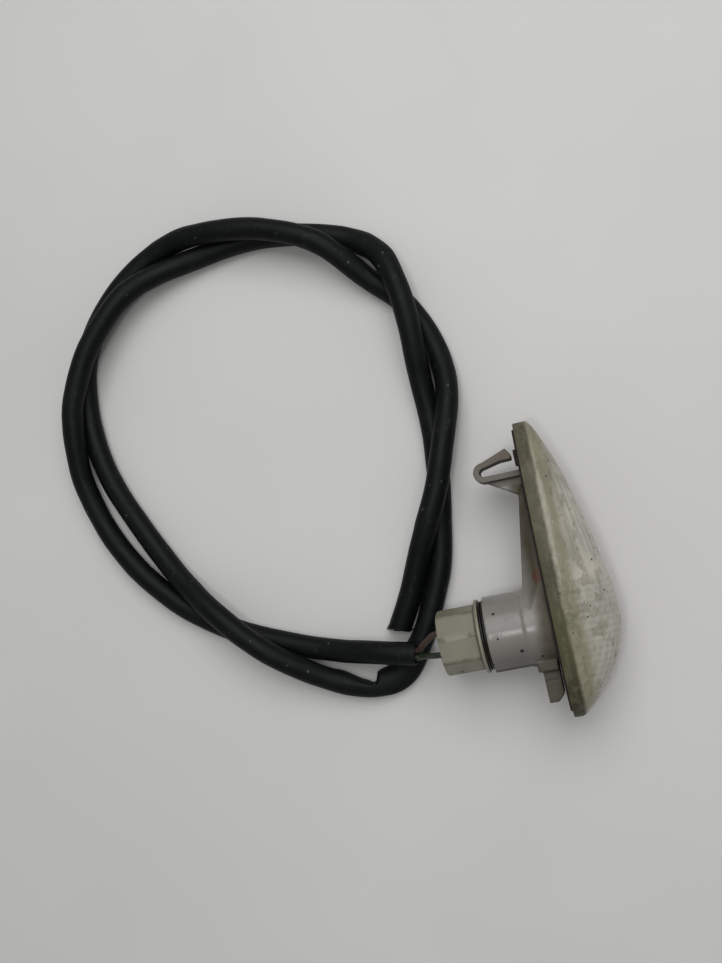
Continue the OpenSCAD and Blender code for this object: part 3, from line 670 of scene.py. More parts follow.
    # Low grain of moulded plastic or foam
    tree, given, place = effect("Grain", "Height", Scale=2500.0, Coarse=0.3)
    fine = tree.cloud(place, given["Scale"], 2.0)
    broad = tree.cloud(place, tree.times(given["Scale"], 0.14))
    effect_end(tree, tree.blend(given["Coarse"], fine, broad))


def new_material(name):
    """An empty material with a Principled shader: its tree, its shader's inputs and itself."""
    material = bpy.data.materials.new(name)
    material.use_nodes = True
    tree = Tree(material.node_tree)
    shader = next(n for n in material.node_tree.nodes if n.type == "BSDF_PRINCIPLED")
    shader.location = (2600, 0)
    material.node_tree.nodes["Material Output"].location = (2900, 0)
    return tree, shader.inputs, material


def bump(tree, height, distance, strength=1.0):
    inputs = {"Height": height, "Distance": distance, "Strength": strength}
    return tree.node("ShaderNodeBump", inputs=inputs).outputs["Normal"]


def plastic_material(name, color, dirt, stains_and_shades, roughness, seed=0.0, marks=(), wear=0.2):
    """Moulded plastic: tone changes, scratches, worn edges, dirt in its corners, stains and painted
    shade in bands, and specks.
    """
    tree, put, material = new_material(name)
    dark = [c * 0.72 for c in color]
    pale = [min(1.0, c * 1.16 + 0.01) for c in color]
    tone = tree.group("Grime", Scale=45.0, Low=0.35, High=0.7, Seed=seed)
    base = tree.mix(tone, color, pale)
    patch = tree.group("Grime", Scale=160.0, Low=0.5, High=0.78, Seed=seed + 3)
    base = tree.coat(base, patch, 0.6, dark)
    rub = tree.group("Scratches", Stretch=(1.0, 0.15, 1.0), Scale=420.0, Width=0.02, Share=0.43,
                     Seed=seed)
    base = tree.coat(base, rub, 0.2, [min(1, c * 1.5) for c in pale])
    point = tree.node("ShaderNodeNewGeometry").outputs["Pointiness"]
    worn = tree.span(point, 0.53, 0.6)
    base = tree.coat(base, worn, wear, pale)
    hollow = tree.span(point, 0.40, 0.48, 1.0, 0.0)
    base = tree.coat(base, hollow, 0.6, dirt)
    in_bands = 0.0
    # Bands of stain and bands of painted shade, each laid over the colour so far
    for mask, stain_and_shade_color in stains_and_shades:
        here = mask(tree)
        base = tree.mix(here, base, stain_and_shade_color)
        in_bands = tree.math("MAXIMUM", in_bands, here)
    dots = tree.group("Specks", Scale=330.0, Size=0.32, Share=0.03, Seed=seed + 0.37)
    base = tree.mix(dots, base, (0.012, 0.011, 0.009))
    for place, radius, mark_color in marks:
        base = tree.mix(tree.spot(place, radius, radius * 0.6, radius * 0.7), base, mark_color)
    tree.put(put["Base Color"], base)
    rough = tree.blend(patch, roughness, min(1.0, roughness + 0.18))
    rough = tree.blend(in_bands, rough, 0.62)
    tree.put(put["Roughness"], tree.math("ADD", rough, tree.times(rub, 0.15), clamp=True))
    grain = tree.group("Grain", Scale=2300.0, Coarse=0.35)
    height = tree.math("SUBTRACT", grain, tree.times(rub, 0.6))
    tree.put(put["Normal"], bump(tree, height, 0.00006, 0.6))
    put["Specular IOR Level"].default_value = 0.45
    return material


def stain_and_shade_band(color, share, uneven=None, **band):
    """A coloured band, as its mask and its colour; it paints stains, and in some uses painted shade.

    uneven gives the scale, low, high and seed of its grime, and its least share.
    """
    def mask(tree):
        region = tree.group("Band", **band)
        if uneven:
            scale, low, high, seed, least = uneven
            patch = tree.group("Grime", Scale=scale, Low=low, High=high, Seed=seed)
            region = tree.times(region, tree.blend(patch, least, 1.0))
        return tree.times(region, share)
    return mask, color


def rubber_material(name, color, dust, roughness=0.6, dusty=0.5, grain=0.0001, seed=0.0):
    """Rubber or foam with a film of dust."""
    tree, put, material = new_material(name)
    film = tree.group("Grime", Scale=240.0, Low=0.45, High=0.8, Seed=seed)
    base = tree.coat(color, film, dusty, dust)
    dots = tree.group("Specks", Scale=700.0, Size=0.35, Share=0.15, Seed=seed + 0.2)
    base = tree.coat(base, dots, dusty, [min(1, c * 1.6) for c in dust])
    tree.put(put["Base Color"], base)
    tree.put(put["Roughness"], tree.blend(film, roughness, min(1.0, roughness + 0.2)))
    height = tree.group("Grain", Scale=1700.0, Coarse=0.5)
    tree.put(put["Normal"], bump(tree, height, grain, 0.8))
    return material


def metal_material(name, color, roughness, tarnish):
    tree, put, material = new_material(name)
    film = tree.group("Grime", Scale=500.0, Low=0.4, High=0.75)
    tree.put(put["Base Color"], tree.mix(film, color, tarnish))
    tree.put(put["Roughness"], tree.blend(film, roughness, min(1.0, roughness + 0.25)))
    put["Metallic"].default_value = 1.0
    drawn = tree.group("Scratches", Stretch=(0.1, 1.0, 1.0), Scale=1500.0, Width=0.1, Share=0.6)
    tree.put(put["Normal"], bump(tree, drawn, 0.00002, 0.5))
    return material


def glass_material(name, color, roughness):
    tree, put, material = new_material(name)
    film = tree.group("Grime", Scale=300.0, Low=0.5, High=0.85)
    tree.put(put["Base Color"], tree.coat(color, film, 0.3, [c * 0.8 for c in color]))
    tree.put(put["Roughness"], tree.blend(film, roughness, roughness + 0.12))
    put["Transmission Weight"].default_value = 1.0
    put["IOR"].default_value = 1.5
    return material


# Stage

class LAMP_OT_stage(bpy.types.Operator):
    """Table, lights, world and camera"""
    bl_idname = "lamp.build_stage"
    bl_label = "Build stage"

    def execute(self, context):
        given = context.scene.lamp_stage
        self.floor(given)
        self.lights(given)
        self.world(context, given)
        self.camera(context)
        context.scene.view_settings.view_transform = "Standard"
        return {"FINISHED"}

    def floor(self, given):
        mesh = bpy.data.meshes.new("floor")
        half, top = 1.6, -0.0001
        corners = [(-half, -half, top), (half, -half, top), (half, half, top), (-half, half, top)]
        mesh.from_pydata(corners, [], [(0, 1, 2, 3)])
        floor = new_object("floor", mesh)
        tree, put, material = new_material("table_white")
        shade = tree.group("Grime", Scale=9.0, Low=0.3, High=0.7, Detail=2.0)
        color = list(given.floor_color)
        tree.put(put["Base Color"], tree.mix(shade, color, [c * 0.965 for c in color]))
        put["Roughness"].default_value = 0.55
        mesh.materials.append(material)

    def lights(self, given):
        for name, power, size, place, aim in (
                ("window", given.window_power, 0.8, (0.11, 0.46, 0.85), (-0.05, 0.04, 0)),
                ("overhead", given.overhead_power, 0.07, (-0.045, -0.05, 0.6), (0.0, -0.02, 0.03))):
            lamp = bpy.data.lights.new(name, "AREA")
            lamp.energy = power
            lamp.size = size
            light = new_object(name, lamp)
            light.location = place
            toward = Vector(aim) - Vector(place)
            light.rotation_euler = toward.to_track_quat("-Z", "Y").to_euler()

    def world(self, context, given):
        world = bpy.data.worlds.new("soft_room")
        context.scene.world = world
        world.use_nodes = True
        tree = Tree(world.node_tree)
        ground = next(n for n in world.node_tree.nodes if n.type == "BACKGROUND")
        rays = tree.node("ShaderNodeLightPath").outputs
        through = tree.math("MAXIMUM", rays["Is Glossy Ray"], rays["Is Transmission Ray"])
        seen = tree.math("MAXIMUM", rays["Is Camera Ray"], through)
        shown = tree.blend(rays["Is Camera Ray"], 0.3, 0.55)
        tree.put(ground.inputs["Strength"], tree.blend(seen, given.sky_strength, shown))
        ground.inputs["Color"].default_value = (0.99, 1.0, 0.995, 1.0)

    def camera(self, context):
        lens = bpy.data.cameras.new("camera")
        lens.sensor_width = SENSOR
        lens.lens = SENSOR * FOCAL_LENGTH / PICTURE_HEIGHT
        lens.clip_start = 0.01
        camera = new_object("camera", lens)
        turn = Matrix((CAMERA_RIGHT, CAMERA_UP, CAMERA_BACK)).transposed().to_4x4()
        camera.matrix_world = Matrix.Translation(CAMERA_AT) @ turn
        context.scene.camera = camera


# Sleeve and wires

class LAMP_OT_sleeve(bpy.types.Operator):
    """Black sleeve with an open mouth and a flattened bare end"""
    bl_idname = "lamp.build_sleeve"
    bl_label = "Build sleeve"

    def execute(self, context):
        given = context.scene.lamp_sleeve
        path = relaxed(smooth_route(SLEEVE_ROUTE, given.steps), given.steps ** 2 // 3)
        push = Vector(FOLD_PUSH) * MM
        for i in range((FOLD_POINT - 2) * given.steps, (FOLD_POINT + 2) * given.steps):
            path[i] += push * nearness(path[i], FLAT_AT, 9)
        rings = self.mouth(path, given.sides)
        rings += self.body(path, given)
        rings += self.cut_end(path, given.sides)
        ends = [sum(ring, Vector()) / given.sides for ring in (rings[0], rings[-1])]
        sleeve = tube("sleeve_tube", rings, ends, self.material(given), 50)
        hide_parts("sleeve")
        return {"FINISHED"}

    def mouth(self, path, sides):
        """The bore as far as the solid goes, and the rounded lip."""
        way = (path[1] - path[0]).normalized()
        bore = (SLEEVE_R - SLEEVE_WALL) * MM
        wall = SLEEVE_WALL * MM
        rings = []
        for along, r in ((MOUTH_DEPTH * MM, bore * 0.97), (4 * MM, bore), (0.5 * MM, bore),
                         (0.1 * MM, bore + wall * 0.15), (0.0, bore + wall * 0.4)):
            rings.append(ring_at(path[0] + way * along, way, r, r, sides))
        return rings

    def body(self, path, given):
        """Outside of the sleeve, with slight dents, pressed where it bends most, and one fold."""
        rings = []
        reach = SLEEVE_R * MM
        span = round(given.steps * 0.8)
        fold_at = Vector(FOLD_AT) * MM
        for i, p in enumerate(path[:-1]):
            way = direction_at(path, i)
            a, b = path[max(i - span, 0)], path[min(i + span, len(path) - 1)]
            turn = (p - a).angle(b - p, 0.0) if 0 < i < len(path) - 1 else 0.0
            bend = limited((turn - BEND_FROM) / BEND_OVER)
            from_fold = abs(i / given.steps - FOLD_POINT)
            flat = nearness(p, FLAT_AT, 11) if from_fold < 3 else 0.0
            press = BEND_PRESS * max(bend, flat)
            wide, high = 1 + press + FLAT_WIDER * flat, 1 - press - FLAT_LOWER * flat
            if i == 0:
                wide = high = 0.97
            sunk = p - Vector((0, 0, reach * (1 - high) * flat))
            ring = ring_at(sunk, way, reach * wide, reach * high, given.sides)
            for k, q in enumerate(ring):
                out = (q - sunk).normalized()
                dent = noise.noise(q * 95) * 0.22 * MM + noise.noise(q * 310) * 0.05 * MM
                crease = math.sin(i * 6.75 / given.steps) * 0.22 * MM * bend * (1 - flat)
                ring[k] = q + out * (min(dent, 0.08 * MM) + crease)
                if from_fold < 2:
                    ring[k] += self.fold(q - fold_at, way, q - sunk)
            rings.append(ring)
        return rings

    def fold(self, off, way, arm):
        """Shift of a point of the skin into the sharp fold, inside the loop's tight bend.

        off is its place from the fold, way the route's direction, arm its place from the route.
        The skin falls in steeply before the fold and slowly after it, with a crease across it.
        """
        inner = level_side(way)
        side = limited(off.dot(inner) / (SLEEVE_R * MM), -1.0)
        along = off.dot(way) / MM - 1.5 * (side - 1)
        if along < 0:
            near = max(0.0, 1 + along / FOLD_BEFORE)
        else:
            near = max(0.0, 1 - along / FOLD_AFTER) ** 1.3
        crease = max(0.0, 1 - abs(along) / CREASE_HALF) * CREASE_DEPTH * limited(side + 0.8)
        return -inner * (near * FOLD_DEPTH * MM * max(0.0, side)) - arm.normalized() * (crease * MM)

    def cut_end(self, path, sides):
        """The bare end, pressed flat and cut askew, with its wall and a hollow behind it."""
        way = (path[-1] - path[-2]).normalized()
        end = Vector((path[-1].x, path[-1].y, SLEEVE_R * FLAT_HEIGHT * MM))
        wide, high = SLEEVE_R * FLAT_WIDTH * MM, SLEEVE_R * FLAT_HEIGHT * MM
        wall = SLEEVE_WALL * MM
        side = level_side(way)
        rings = []
        for back, inset in ((0.35, 0.0), (0.0, 0.25), (0.0, 0.75), (0.3, 1.0), (1.5, 1.05), (4.0, 1.2)):
            at, thin = end - way * back * MM, wall * inset
            ring = ring_at(at, way, wide - thin, high - thin, sides)
            rings.append([q + way * (0.35 * (q - end).dot(side) - 0.5 * MM) for q in ring])
        return rings

    def material(self, given):
        tree, put, material = new_material("sleeve_black")
        color, scuff = list(given.sleeve_color), list(given.scuff_color)
        tone = tree.group("Grime", Scale=60.0, Low=0.4, High=0.7)
        base = tree.mix(tone, color, [c * 1.7 for c in color])
        film = tree.group("Grime", Scale=210.0, Low=0.56, High=0.86, Seed=4.0)
        base = tree.coat(base, film, 0.06, scuff)
        rub = tree.group("Scratches", Stretch=(1.0, 0.5, 0.5), Scale=330.0, Width=0.03, Share=0.40)
        base = tree.coat(base, rub, 0.16, scuff)
        dots = tree.group("Specks", Scale=420.0, Size=0.25, Share=0.07)
        base = tree.coat(base, dots, 0.5, scuff)
        # Painted highlights: two pale spots on the lip of the flattened cut end
        lip_highlights = ((-54.6, -11.8, 5.6), 0.6), ((-53.1, -12.1, 6.4), 0.5)
        for place, radius in lip_highlights:
            base = tree.mix(tree.spot(place, radius, 0.3, 0.5), base, (0.22, 0.22, 0.2))
        tree.put(put["Base Color"], base)
        rough = tree.math("ADD", tree.blend(film, 0.48, 0.65), tree.times(tone, 0.08))
        tree.put(put["Roughness"], rough)
        grain = tree.group("Grain", Scale=900.0, Coarse=0.6)
        tree.put(put["Normal"], bump(tree, grain, 0.00012, 0.5))
        put["Specular IOR Level"].default_value = 0.14
        return material


class LAMP_OT_wires(bpy.types.Operator):
    """The two wires from their ports into the sleeve's mouth"""
    bl_idname = "lamp.build_wires"
    bl_label = "Build wires"

    def execute(self, context):
        given = context.scene.lamp_sleeve
        self.wire("wire_brown_tube", "wire_brown", 1, BROWN_FREE, list(given.brown_color))
        self.wire("wire_green_tube", "wire_green", -1, GREEN_FREE, list(given.green_color))
        return {"FINISHED"}

    def wire(self, name, node, side, free, color):
        mouth, after = Vector(SLEEVE_ROUTE[0]), Vector(SLEEVE_ROUTE[1])
        way = (after - mouth).normalized()
        place = level_side(way) * (side * (WIRE_R + 0.15))
        port = Vector((LAMP_X - WIRE_IN, NECK_Y + side * PORT_AT, AXIS_Z))
        outer = Vector((LAMP_X - GRIP_BACK + 1, port.y, AXIS_Z))
        route = [port, outer, *free, mouth + place, mouth + place + way * MOUTH_DEPTH]
        path = smooth_route(route, 8)
        rings = [ring_at(p, direction_at(path, i), WIRE_R * MM, WIRE_R * MM, WIRE_SIDES)
                 for i, p in enumerate(path)]
        wire = tube(name, rings, [path[0], path[-1]], self.material(name, color), 60)
        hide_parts(node)

    def material(self, name, color):
        return rubber_material(name + "_cover", color, [c * 1.6 + 0.014 for c in color],
                               roughness=0.38, dusty=0.6, grain=0.00003)


# Lens

class LAMP_OT_lens(bpy.types.Operator):
    """Clear skin of the lens with its moulded pattern under it"""
    bl_idname = "lamp.build_lens"
    bl_label = "Build lens"

    def execute(self, context):
        given = context.scene.lamp_lens
        skin = self.skin(given)
        pattern = self.pattern(given)
        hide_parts("lens")
        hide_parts("lens")
        return {"FINISHED"}

    def skin(self, given):
        depth = given.skin_depth / MM
        rim, mouth, inner = outline(0), outline(SKIRT_WALL), outline(DOME_INSET)
        shares = dome_shares(SKIN_RINGS)
        rings = [[row(lens_x(y, z), y, z) for y, z in shrunk(rim, s)] for s in reversed(shares)]
        rings.append([row(skirt_at(y) + 0.12, y, z) for y, z in outline(0.05)])
        rings.append([row(skirt_at(y) - 0.15, y, z) for y, z in rim])
        rings.append([row(skirt_at(y) * 0.5, y, z) for y, z in rim])
        for x, edge in ((0.3, rim), (0.08, outline(0.08)), (0.0, outline(0.3)),
                        (0.0, outline(SKIRT_WALL - 0.2)), (0.2, mouth), (LEDGE_DEPTH, mouth),
                        (LEDGE_DEPTH, inner)):
            rings.append([row(x, y, z) for y, z in edge])
        rings.append([row(inner_x(y, z, depth), y, z) for y, z in inner])
        for s in shares:
            rings.append([row(inner_x(y, z, depth), y, z) for y, z in shrunk(inner, s)])
        top = lens_x(-CROWN_AT, 0)
        ends = [row(top, -CROWN_AT, 0), row(top - depth, -CROWN_AT, 0)]
        return tube("lens_skin", rings, ends, self.skin_material(given), 35)

    def relief(self, given, y, z):
        """Depth of the moulded pattern at a place: flutes toward the tip, pillows at the blunt end."""
        across = z / max(half_width(y), 0.5)
        flute = 0.5 - 0.5 * math.cos(2 * math.pi * given.flutes * (across + 1) / 2)
        flute_here = limited((y - FLUTES_FROM) / (FLUTES_FULL - FLUTES_FROM))
        pitch = given.pillow_pitch / MM
        rows, columns = math.sin(math.pi * y / pitch), math.sin(math.pi * (z / pitch + 0.5))
        pillow = (abs(rows) * abs(columns)) ** 0.5
        pillow_here = limited((FLUTES_FROM - y) / (FLUTES_FROM - PILLOWS_FULL))
        flutes = given.flute_depth / MM * flute * flute_here
        return flutes + given.pillow_depth / MM * pillow * pillow_here

    def pattern(self, given):
        """Inner half of the wall, with the pattern on its outer side."""
        inner = outline(DOME_INSET + 0.05, PATTERN_STEPS)
        low = outline(DOME_INSET + 0.8, PATTERN_STEPS)
        depth = given.skin_depth / MM + 0.08
        most = max(given.flute_depth, given.pillow_depth) / MM
        rings = [[row(inner_x(y, z, depth + most - self.relief(given, y, z)), y, z)
                  for y, z in shrunk(inner, s)] for s in reversed(dome_shares(PATTERN_RINGS))]
        rings.append([row(inner_x(y, z, depth + most), y, z) for y, z in inner])
        for edge in (inner, low):
            rings.append([row(LEDGE_DEPTH + 0.05, y, z) for y, z in edge])
        rings += [[row(max(LEDGE_DEPTH + 0.1, lens_x(y, z) - LENS_WALL), y, z)
                   for y, z in shrunk(low, s)] for s in dome_shares(PATTERN_BACK_RINGS)]
        top = lens_x(-CROWN_AT, 0)
        ends = [row(top - depth - most, -CROWN_AT, 0), row(top - LENS_WALL, -CROWN_AT, 0)]
        return tube("lens_pattern", rings, ends, self.pattern_material(given), 35)

    def skin_material(self, given):
        tree, put, material = new_material("lens_hazy_clear")
        face, skirt = list(given.face_color), list(given.skirt_color)
        tone = tree.group("Grime", Scale=70.0, Low=0.35, High=0.75)
        base = tree.mix(tone, face, [min(1, c * 1.35) for c in face])
        mould = tree.group("Moulding", Flutes=float(given.flutes), Pitch=given.pillow_pitch)
        base = tree.coat(base, mould, 0.42, [c * 0.5 for c in face])
        khaki = tree.group("Band", From=0.0, To=lamp_x(7.6), Soft=0.0045, Waver=0.0022)
        base = tree.coat(base, khaki, 0.7, (0.30, 0.28, 0.155))
        grime = tree.group("Band", From=0.0, To=lamp_x(3.9), Soft=0.0016, Waver=0.0008, Scale=200.0)
        base = tree.mix(grime, base, skirt)
        crust = tree.group("Grime", Scale=110.0, Low=0.5, High=0.7, Seed=9.0)
        blunt = tree.group("Band", Direction=TO_BLUNT, From=0.028, To=0.08, Soft=0.018)
        tip = tree.group("Band", Direction=TO_TIP, From=0.026, To=0.08, Soft=0.016, Waver=0.004)
        crust = tree.math("MAXIMUM", crust, tree.math("MAXIMUM", blunt, tree.times(tip, 0.7)))
        base = tree.coat(base, tree.times(crust, grime), 0.7, [c * 0.36 for c in skirt])
        moss = tree.group("Band", Direction=TO_TIP, From=-0.034, To=0.006, Soft=0.008, Waver=0.006)
        spread = tree.group("Grime", Scale=130.0, Low=0.46, High=0.66, Seed=7.0)
        base = tree.coat(base, tree.times(moss, spread, khaki), 0.7, (0.07, 0.085, 0.03))
        streak = tree.group("Scratches", Stretch=(1.0, 0.05, 1.0), Scale=170.0, Width=0.16, Share=0.49,
                            Seed=6.1)
        base = tree.coat(base, streak, 0.4, (0.2, 0.18, 0.105))
        dusty = tree.group("Band", Direction=TO_TIP, From=0.008, To=0.08, Soft=0.03, Waver=0.01)
        smear = tree.group("Grime", Scale=90.0, Low=0.35, High=0.62, Seed=15.0)
        base = tree.coat(base, tree.times(dusty, smear), 0.5, (0.25, 0.23, 0.16))
        rub = tree.group("Scratches", Turn=(0.4, 0.2, 0.3), Stretch=(1.0, 0.1, 1.0), Scale=340.0,
                         Width=0.014, Share=0.47)
        crossing = tree.group("Scratches", Turn=(0.9, 0.5, 1.2), Stretch=(0.12, 1.0, 1.0), Scale=190.0,
                              Width=0.01, Share=0.43, Seed=2.3)
        clean = tree.math("SUBTRACT", 1.0, tree.times(grime, 0.9))
        marks = tree.times(tree.math("MAXIMUM", rub, crossing), clean)
        base = tree.coat(base, marks, 0.3, (0.8, 0.79, 0.75))
        dots = tree.group("Specks", Scale=520.0, Size=0.3, Share=0.10)
        base = tree.mix(dots, base, (0.05, 0.045, 0.03))
        tree.put(put["Base Color"], base)
        rough = tree.blend(grime, tree.blend(tone, 0.16, 0.28), 0.6)
        tree.put(put["Roughness"], tree.math("ADD", rough, tree.times(marks, 0.3), clamp=True))
        tree.put(put["Normal"], bump(tree, marks, 0.00004, 0.6))
        put["Transmission Weight"].default_value = 0.45
        put["IOR"].default_value = 1.49
        return material

    def pattern_material(self, given):
        tree, put, material = new_material("lens_moulded_pattern")
        face = list(given.face_color)
        tone = tree.group("Grime", Scale=110.0, Low=0.4, High=0.7, Seed=1.0)
        base = tree.mix(tone, face, [c * 1.5 for c in face])
        mould = tree.group("Moulding", Flutes=float(given.flutes), Pitch=given.pillow_pitch)
        base = tree.coat(base, mould, 0.7, [c * 0.3 for c in face])
        tree.put(put["Base Color"], base)
        put["Roughness"].default_value = 0.16
        put["Transmission Weight"].default_value = 0.2
        put["IOR"].default_value = 1.49
        grain = tree.group("Grain", Scale=1500.0, Coarse=0.5)
        tree.put(put["Normal"], bump(tree, grain, 0.00004, 0.4))
        return material


class LAMP_OT_sealing(bpy.types.Operator):
    """Foam gasket behind the rim and the sealant inside it"""
    bl_idname = "lamp.build_sealing"
    bl_label = "Build sealing"

    def execute(self, context):
        foam = rubber_material("gasket_black_foam", (0.012, 0.010, 0.008), (0.07, 0.06, 0.045),
                               roughness=0.9, dusty=0.45, grain=0.0004, seed=2.0)
        gasket = rounded_copy("panel_gasket", "gasket_foam", 0.3 * MM, 2, 0.5)
        for vertex in gasket.data.vertices:
            vertex.co += vertex.normal * min(0.0, noise.noise(vertex.co * 900) * 0.12 * MM - 0.03 * MM)
        finish_piece(gasket, foam, 60)
        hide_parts("panel_gasket")
        sealant = rubber_material("sealant_tan", (0.21, 0.15, 0.08), (0.1, 0.07, 0.04), roughness=0.6,
                                  dusty=0.6, grain=0.0002)
        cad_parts["lens_sealant"].data.materials[0] = sealant
        return {"FINISHED"}


# Housing and holder

class LAMP_OT_housing(bpy.types.Operator):
    """Moulded housing with neck, tray, clip and tongue"""
    bl_idname = "lamp.build_housing"
    bl_label = "Build housing"

    def execute(self, context):
        given = context.scene.lamp_housing
        housing = rounded_copy("housing", "housing_moulding", given.voxel, 5, 0.45)
        finish_piece(housing, self.material(given), 70)
        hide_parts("housing")
        return {"FINISHED"}

    def material(self, given):
        # Painted shade on the clip's upright walls, chosen by how steep the surface is
        def clip_wall_shade(tree):
            region = tree.group("Band", Direction=TO_TIP, From=0.032, To=0.06)
            _, _, up = tree.split(tree.node("ShaderNodeTexCoord").outputs["Normal"])
            return tree.times(region, tree.span(tree.math("ABSOLUTE", up), 0.25, 0.7, 0.9, 0.0))

        # Painted shade on the neck's lower side; brown stain and painted shade beside the gasket;
        # painted shade in its gap; the clip; painted shade on its upright walls; its end; a darker band
        # over the tongue
        stains_and_shades = (
            # Painted shade: the lower side of the neck made darker, as the light comes from above
            stain_and_shade_band((0.075, 0.07, 0.06), 0.5, Direction=TO_BLUNT, From=0.021, To=0.06, Soft=0.011,
                  Waver=0.001),
            # Brown stain beside the gasket, with painted shade of the tray's side in it
            stain_and_shade_band(list(given.stain_and_shade_color), 1.0, (120.0, 0.25, 0.6, 5.0, 0.75),
                  From=lamp_x(-8.5), To=lamp_x(5), Soft=0.0055, Waver=0.0014),
            # Painted shade: near black in the gap under the lens rim
            stain_and_shade_band((0.018, 0.014, 0.008), 0.85, From=lamp_x(-1.8), To=lamp_x(5), Waver=0.0006),
            stain_and_shade_band((0.095, 0.087, 0.07), 0.85, Direction=TO_TIP, From=0.032, To=0.06),
            (clip_wall_shade, (0.02, 0.015, 0.009)),
            stain_and_shade_band((0.08, 0.06, 0.04), 0.7, Direction=TO_TIP, From=0.039, To=0.06, Soft=0.004),
            # Darker, uneven band over the tongue
            stain_and_shade_band((0.05, 0.044, 0.028), 1.0, (300.0, 0.3, 0.6, 8.0, 0.85),
                  Direction=TO_BLUNT, From=0.0325, To=0.06),
        )
        # Small dark specks, and a reddish patch beside the rim
        black, reddish = (0.012, 0.011, 0.009), (0.085, 0.035, 0.018)
        marks = (((-11.3, -12.6, 31.8), 0.4, black), ((-11.2, -21.5, 34), 0.35, black),
                 ((-3.8, -27.4, 32.1), 0.5, black), ((3, -30.6, 30.1), 0.5, black),
                 ((7.6, -2, 31), 2.2, reddish))
        return plastic_material("housing_grey_plastic", list(given.plastic_color), (0.03, 0.026, 0.016),
                                stains_and_shades, roughness=0.25, marks=marks)


class LAMP_OT_holder(bpy.types.Operator):
    """Twist-in bulb holder, its seal and the seals of its wires"""
    bl_idname = "lamp.build_holder"
    bl_label = "Build holder"

    def execute(self, context):
        given = context.scene.lamp_holder
        holder = rounded_copy("holder_body", "holder_moulding", given.voxel, 3, 0.5)
        finish_piece(holder, self.material(given), 70)
        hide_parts("holder_body")
        rubber = rubber_material("seal_black_rubber", list(given.rubber_color), (0.06, 0.05, 0.04),
                                 roughness=0.42, dusty=0.3, grain=0.00005, seed=5.0)
        seal = lathe(self.seal_profile(), 96, rubber, "holder_seal_ring")
        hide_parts("holder_seal")
        port = rubber_material("port_black_rubber", (0.02, 0.018, 0.015), (0.09, 0.08, 0.06),
                               roughness=0.6, dusty=0.5)
        for node in ("wire_seal_live", "wire_seal_earth"):
            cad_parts[node].data.materials[0] = port
        return {"FINISHED"}

    def material(self, given):
        def corners(tree):
            _, y, z = tree.split(tree.place())
            across = tree.math("SUBTRACT", y, NECK_Y * MM)
            up = tree.math("SUBTRACT", z, AXIS_Z * MM)
            square = tree.math("ADD", tree.times(across, across), tree.times(up, up))
            far = tree.math("SQRT", square)
            patch = tree.group("Grime", Scale=260.0, Low=0.3, High=0.65, Seed=12.0)
            near = tree.times(tree.span(far, 11.85 * MM, 12.1 * MM), patch)
            grip = tree.group("Band", From=-0.05, To=lamp_x(-SEAL_BACK - 2), Soft=0.0005)
            return tree.times(near, tree.times(grip, 0.6))

        # Darker towards the underside; corners of the grip; foot of the flange
        stains_and_shades = (
            stain_and_shade_band((0.07, 0.055, 0.035), 0.35, Direction=DOWN, From=-0.0135, To=0.01, Soft=0.003),
            (corners, (0.055, 0.047, 0.025)),
            stain_and_shade_band((0.045, 0.036, 0.02), 0.7, From=lamp_x(-SEAL_BACK - 2.2), To=lamp_x(-SEAL_BACK - 1.3),
                  Soft=0.0004, Waver=0.0004, Scale=300.0),
        )
        return plastic_material("holder_olive_plastic", list(given.plastic_color), (0.04, 0.032, 0.018),
                                stains_and_shades, roughness=0.4, seed=11.0, wear=0.75)

    def seal_profile(self):
        """Two rounded ribs round the ring, between neck and holder."""
        outer, low = NECK_R - 1.2, NECK_R - 1.9
        front, back = -NECK_BACK - 0.02, -SEAL_BACK + 0.02
        profile = [(front, BARREL_R + 0.02)]
        steps = 16
        for i in range(steps + 1):
            t = i / steps
            rib = abs(math.sin(2 * math.pi * t)) ** 0.6
            profile.append((front + (back - front) * t, low + (outer - low) * rib))
        profile.append((back, BARREL_R + 0.02))
        return profile


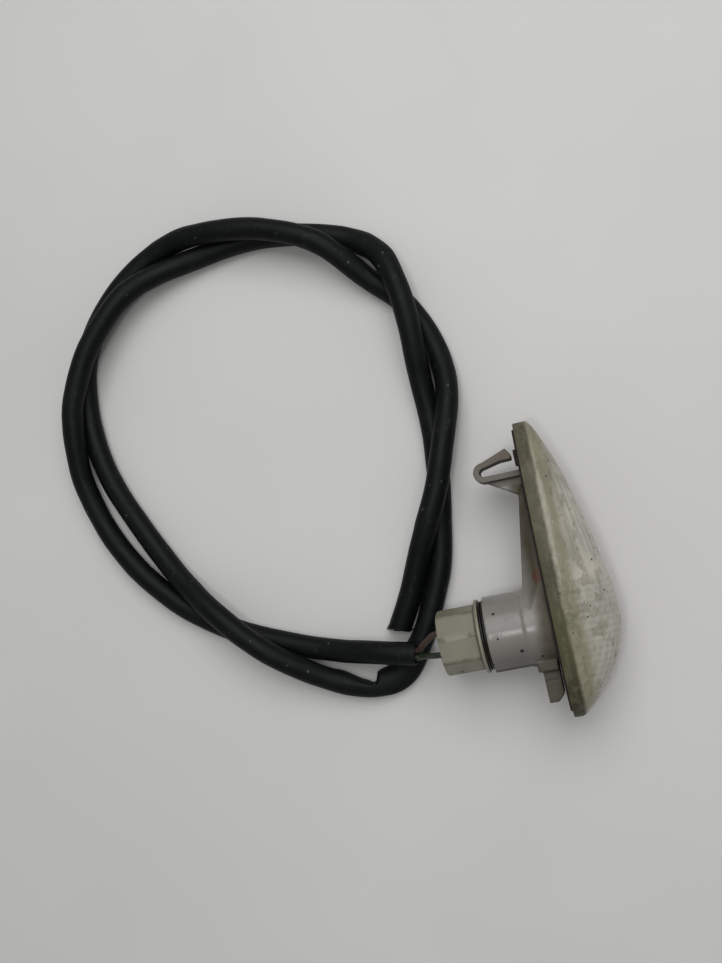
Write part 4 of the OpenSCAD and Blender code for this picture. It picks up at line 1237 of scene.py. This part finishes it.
class LAMP_OT_inside(bpy.types.Operator):
    """Bulb, its leads, the terminals and the bare strands"""
    bl_idname = "lamp.build_inside"
    bl_label = "Build inside"

    def execute(self, context):
        finishes = {
            "bulb_glass": glass_material("bulb_amber_glass", (0.9, 0.5, 0.14), 0.04),
            "bulb_bead": glass_material("bead_clear_glass", (0.85, 0.9, 0.88), 0.08),
            "bulb_filament": metal_material("filament_dark_wire", (0.25, 0.24, 0.24), 0.4,
                                            (0.1, 0.1, 0.11)),
            "bulb_lead": metal_material("lead_grey_wire", (0.5, 0.48, 0.44), 0.3, (0.3, 0.26, 0.2)),
            "terminal": metal_material("terminal_brass", (0.7, 0.5, 0.22), 0.3, (0.35, 0.24, 0.12)),
            "core": metal_material("strand_copper", (0.72, 0.36, 0.2), 0.35, (0.3, 0.15, 0.09)),
        }
        for node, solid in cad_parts.items():
            for start, material in finishes.items():
                if node.startswith(start):
                    solid.data.materials[0] = material
        return {"FINISHED"}


class LAMP_PT_panel(bpy.types.Panel):
    """Sizes, colours and pieces of the lamp"""
    bl_idname = "LAMP_PT_panel"
    bl_label = "Side repeater lamp"
    bl_space_type = "VIEW_3D"
    bl_region_type = "UI"
    bl_category = "Lamp"

    def draw(self, context):
        for title, name, _, operators in PARTS:
            box = self.layout.box()
            box.label(text=title)
            group = getattr(context.scene, name)
            for setting in group.bl_rna.properties.keys():
                if setting not in ("rna_type", "name"):
                    box.prop(group, setting)
            for operator in operators:
                box.operator(operator.bl_idname)


PARTS = (
    ("Stage", "lamp_stage", LampStageSettings, (LAMP_OT_stage,)),
    ("Sleeve and wires", "lamp_sleeve", LampSleeveSettings, (LAMP_OT_sleeve, LAMP_OT_wires)),
    ("Lens", "lamp_lens", LampLensSettings, (LAMP_OT_lens, LAMP_OT_sealing)),
    ("Housing", "lamp_housing", LampHousingSettings, (LAMP_OT_housing,)),
    ("Holder and bulb", "lamp_holder", LampHolderSettings, (LAMP_OT_holder, LAMP_OT_inside)),
)
CLASSES = [made for _, _, settings, operators in PARTS for made in (settings, *operators)]
CLASSES.append(LAMP_PT_panel)


def register():
    for made in CLASSES:
        bpy.utils.register_class(made)
    for _, name, settings, _ in PARTS:
        setattr(bpy.types.Scene, name, PointerProperty(type=settings))


def unregister():
    for _, name, _, _ in PARTS:
        delattr(bpy.types.Scene, name)
    for made in reversed(CLASSES):
        bpy.utils.unregister_class(made)


def clear_start_scene():
    for name in ("Cube", "Light", "Camera"):
        found = bpy.data.objects.get(name)
        if found:
            bpy.data.objects.remove(found)


def main():
    clear_start_scene()
    register()
    build_effects()
    bpy.ops.lamp.build_stage()
    bpy.ops.lamp.build_sleeve()
    bpy.ops.lamp.build_wires()
    bpy.ops.lamp.build_lens()
    bpy.ops.lamp.build_sealing()
    bpy.ops.lamp.build_housing()
    bpy.ops.lamp.build_holder()
    bpy.ops.lamp.build_inside()


if __name__ == "__main__":
    main()
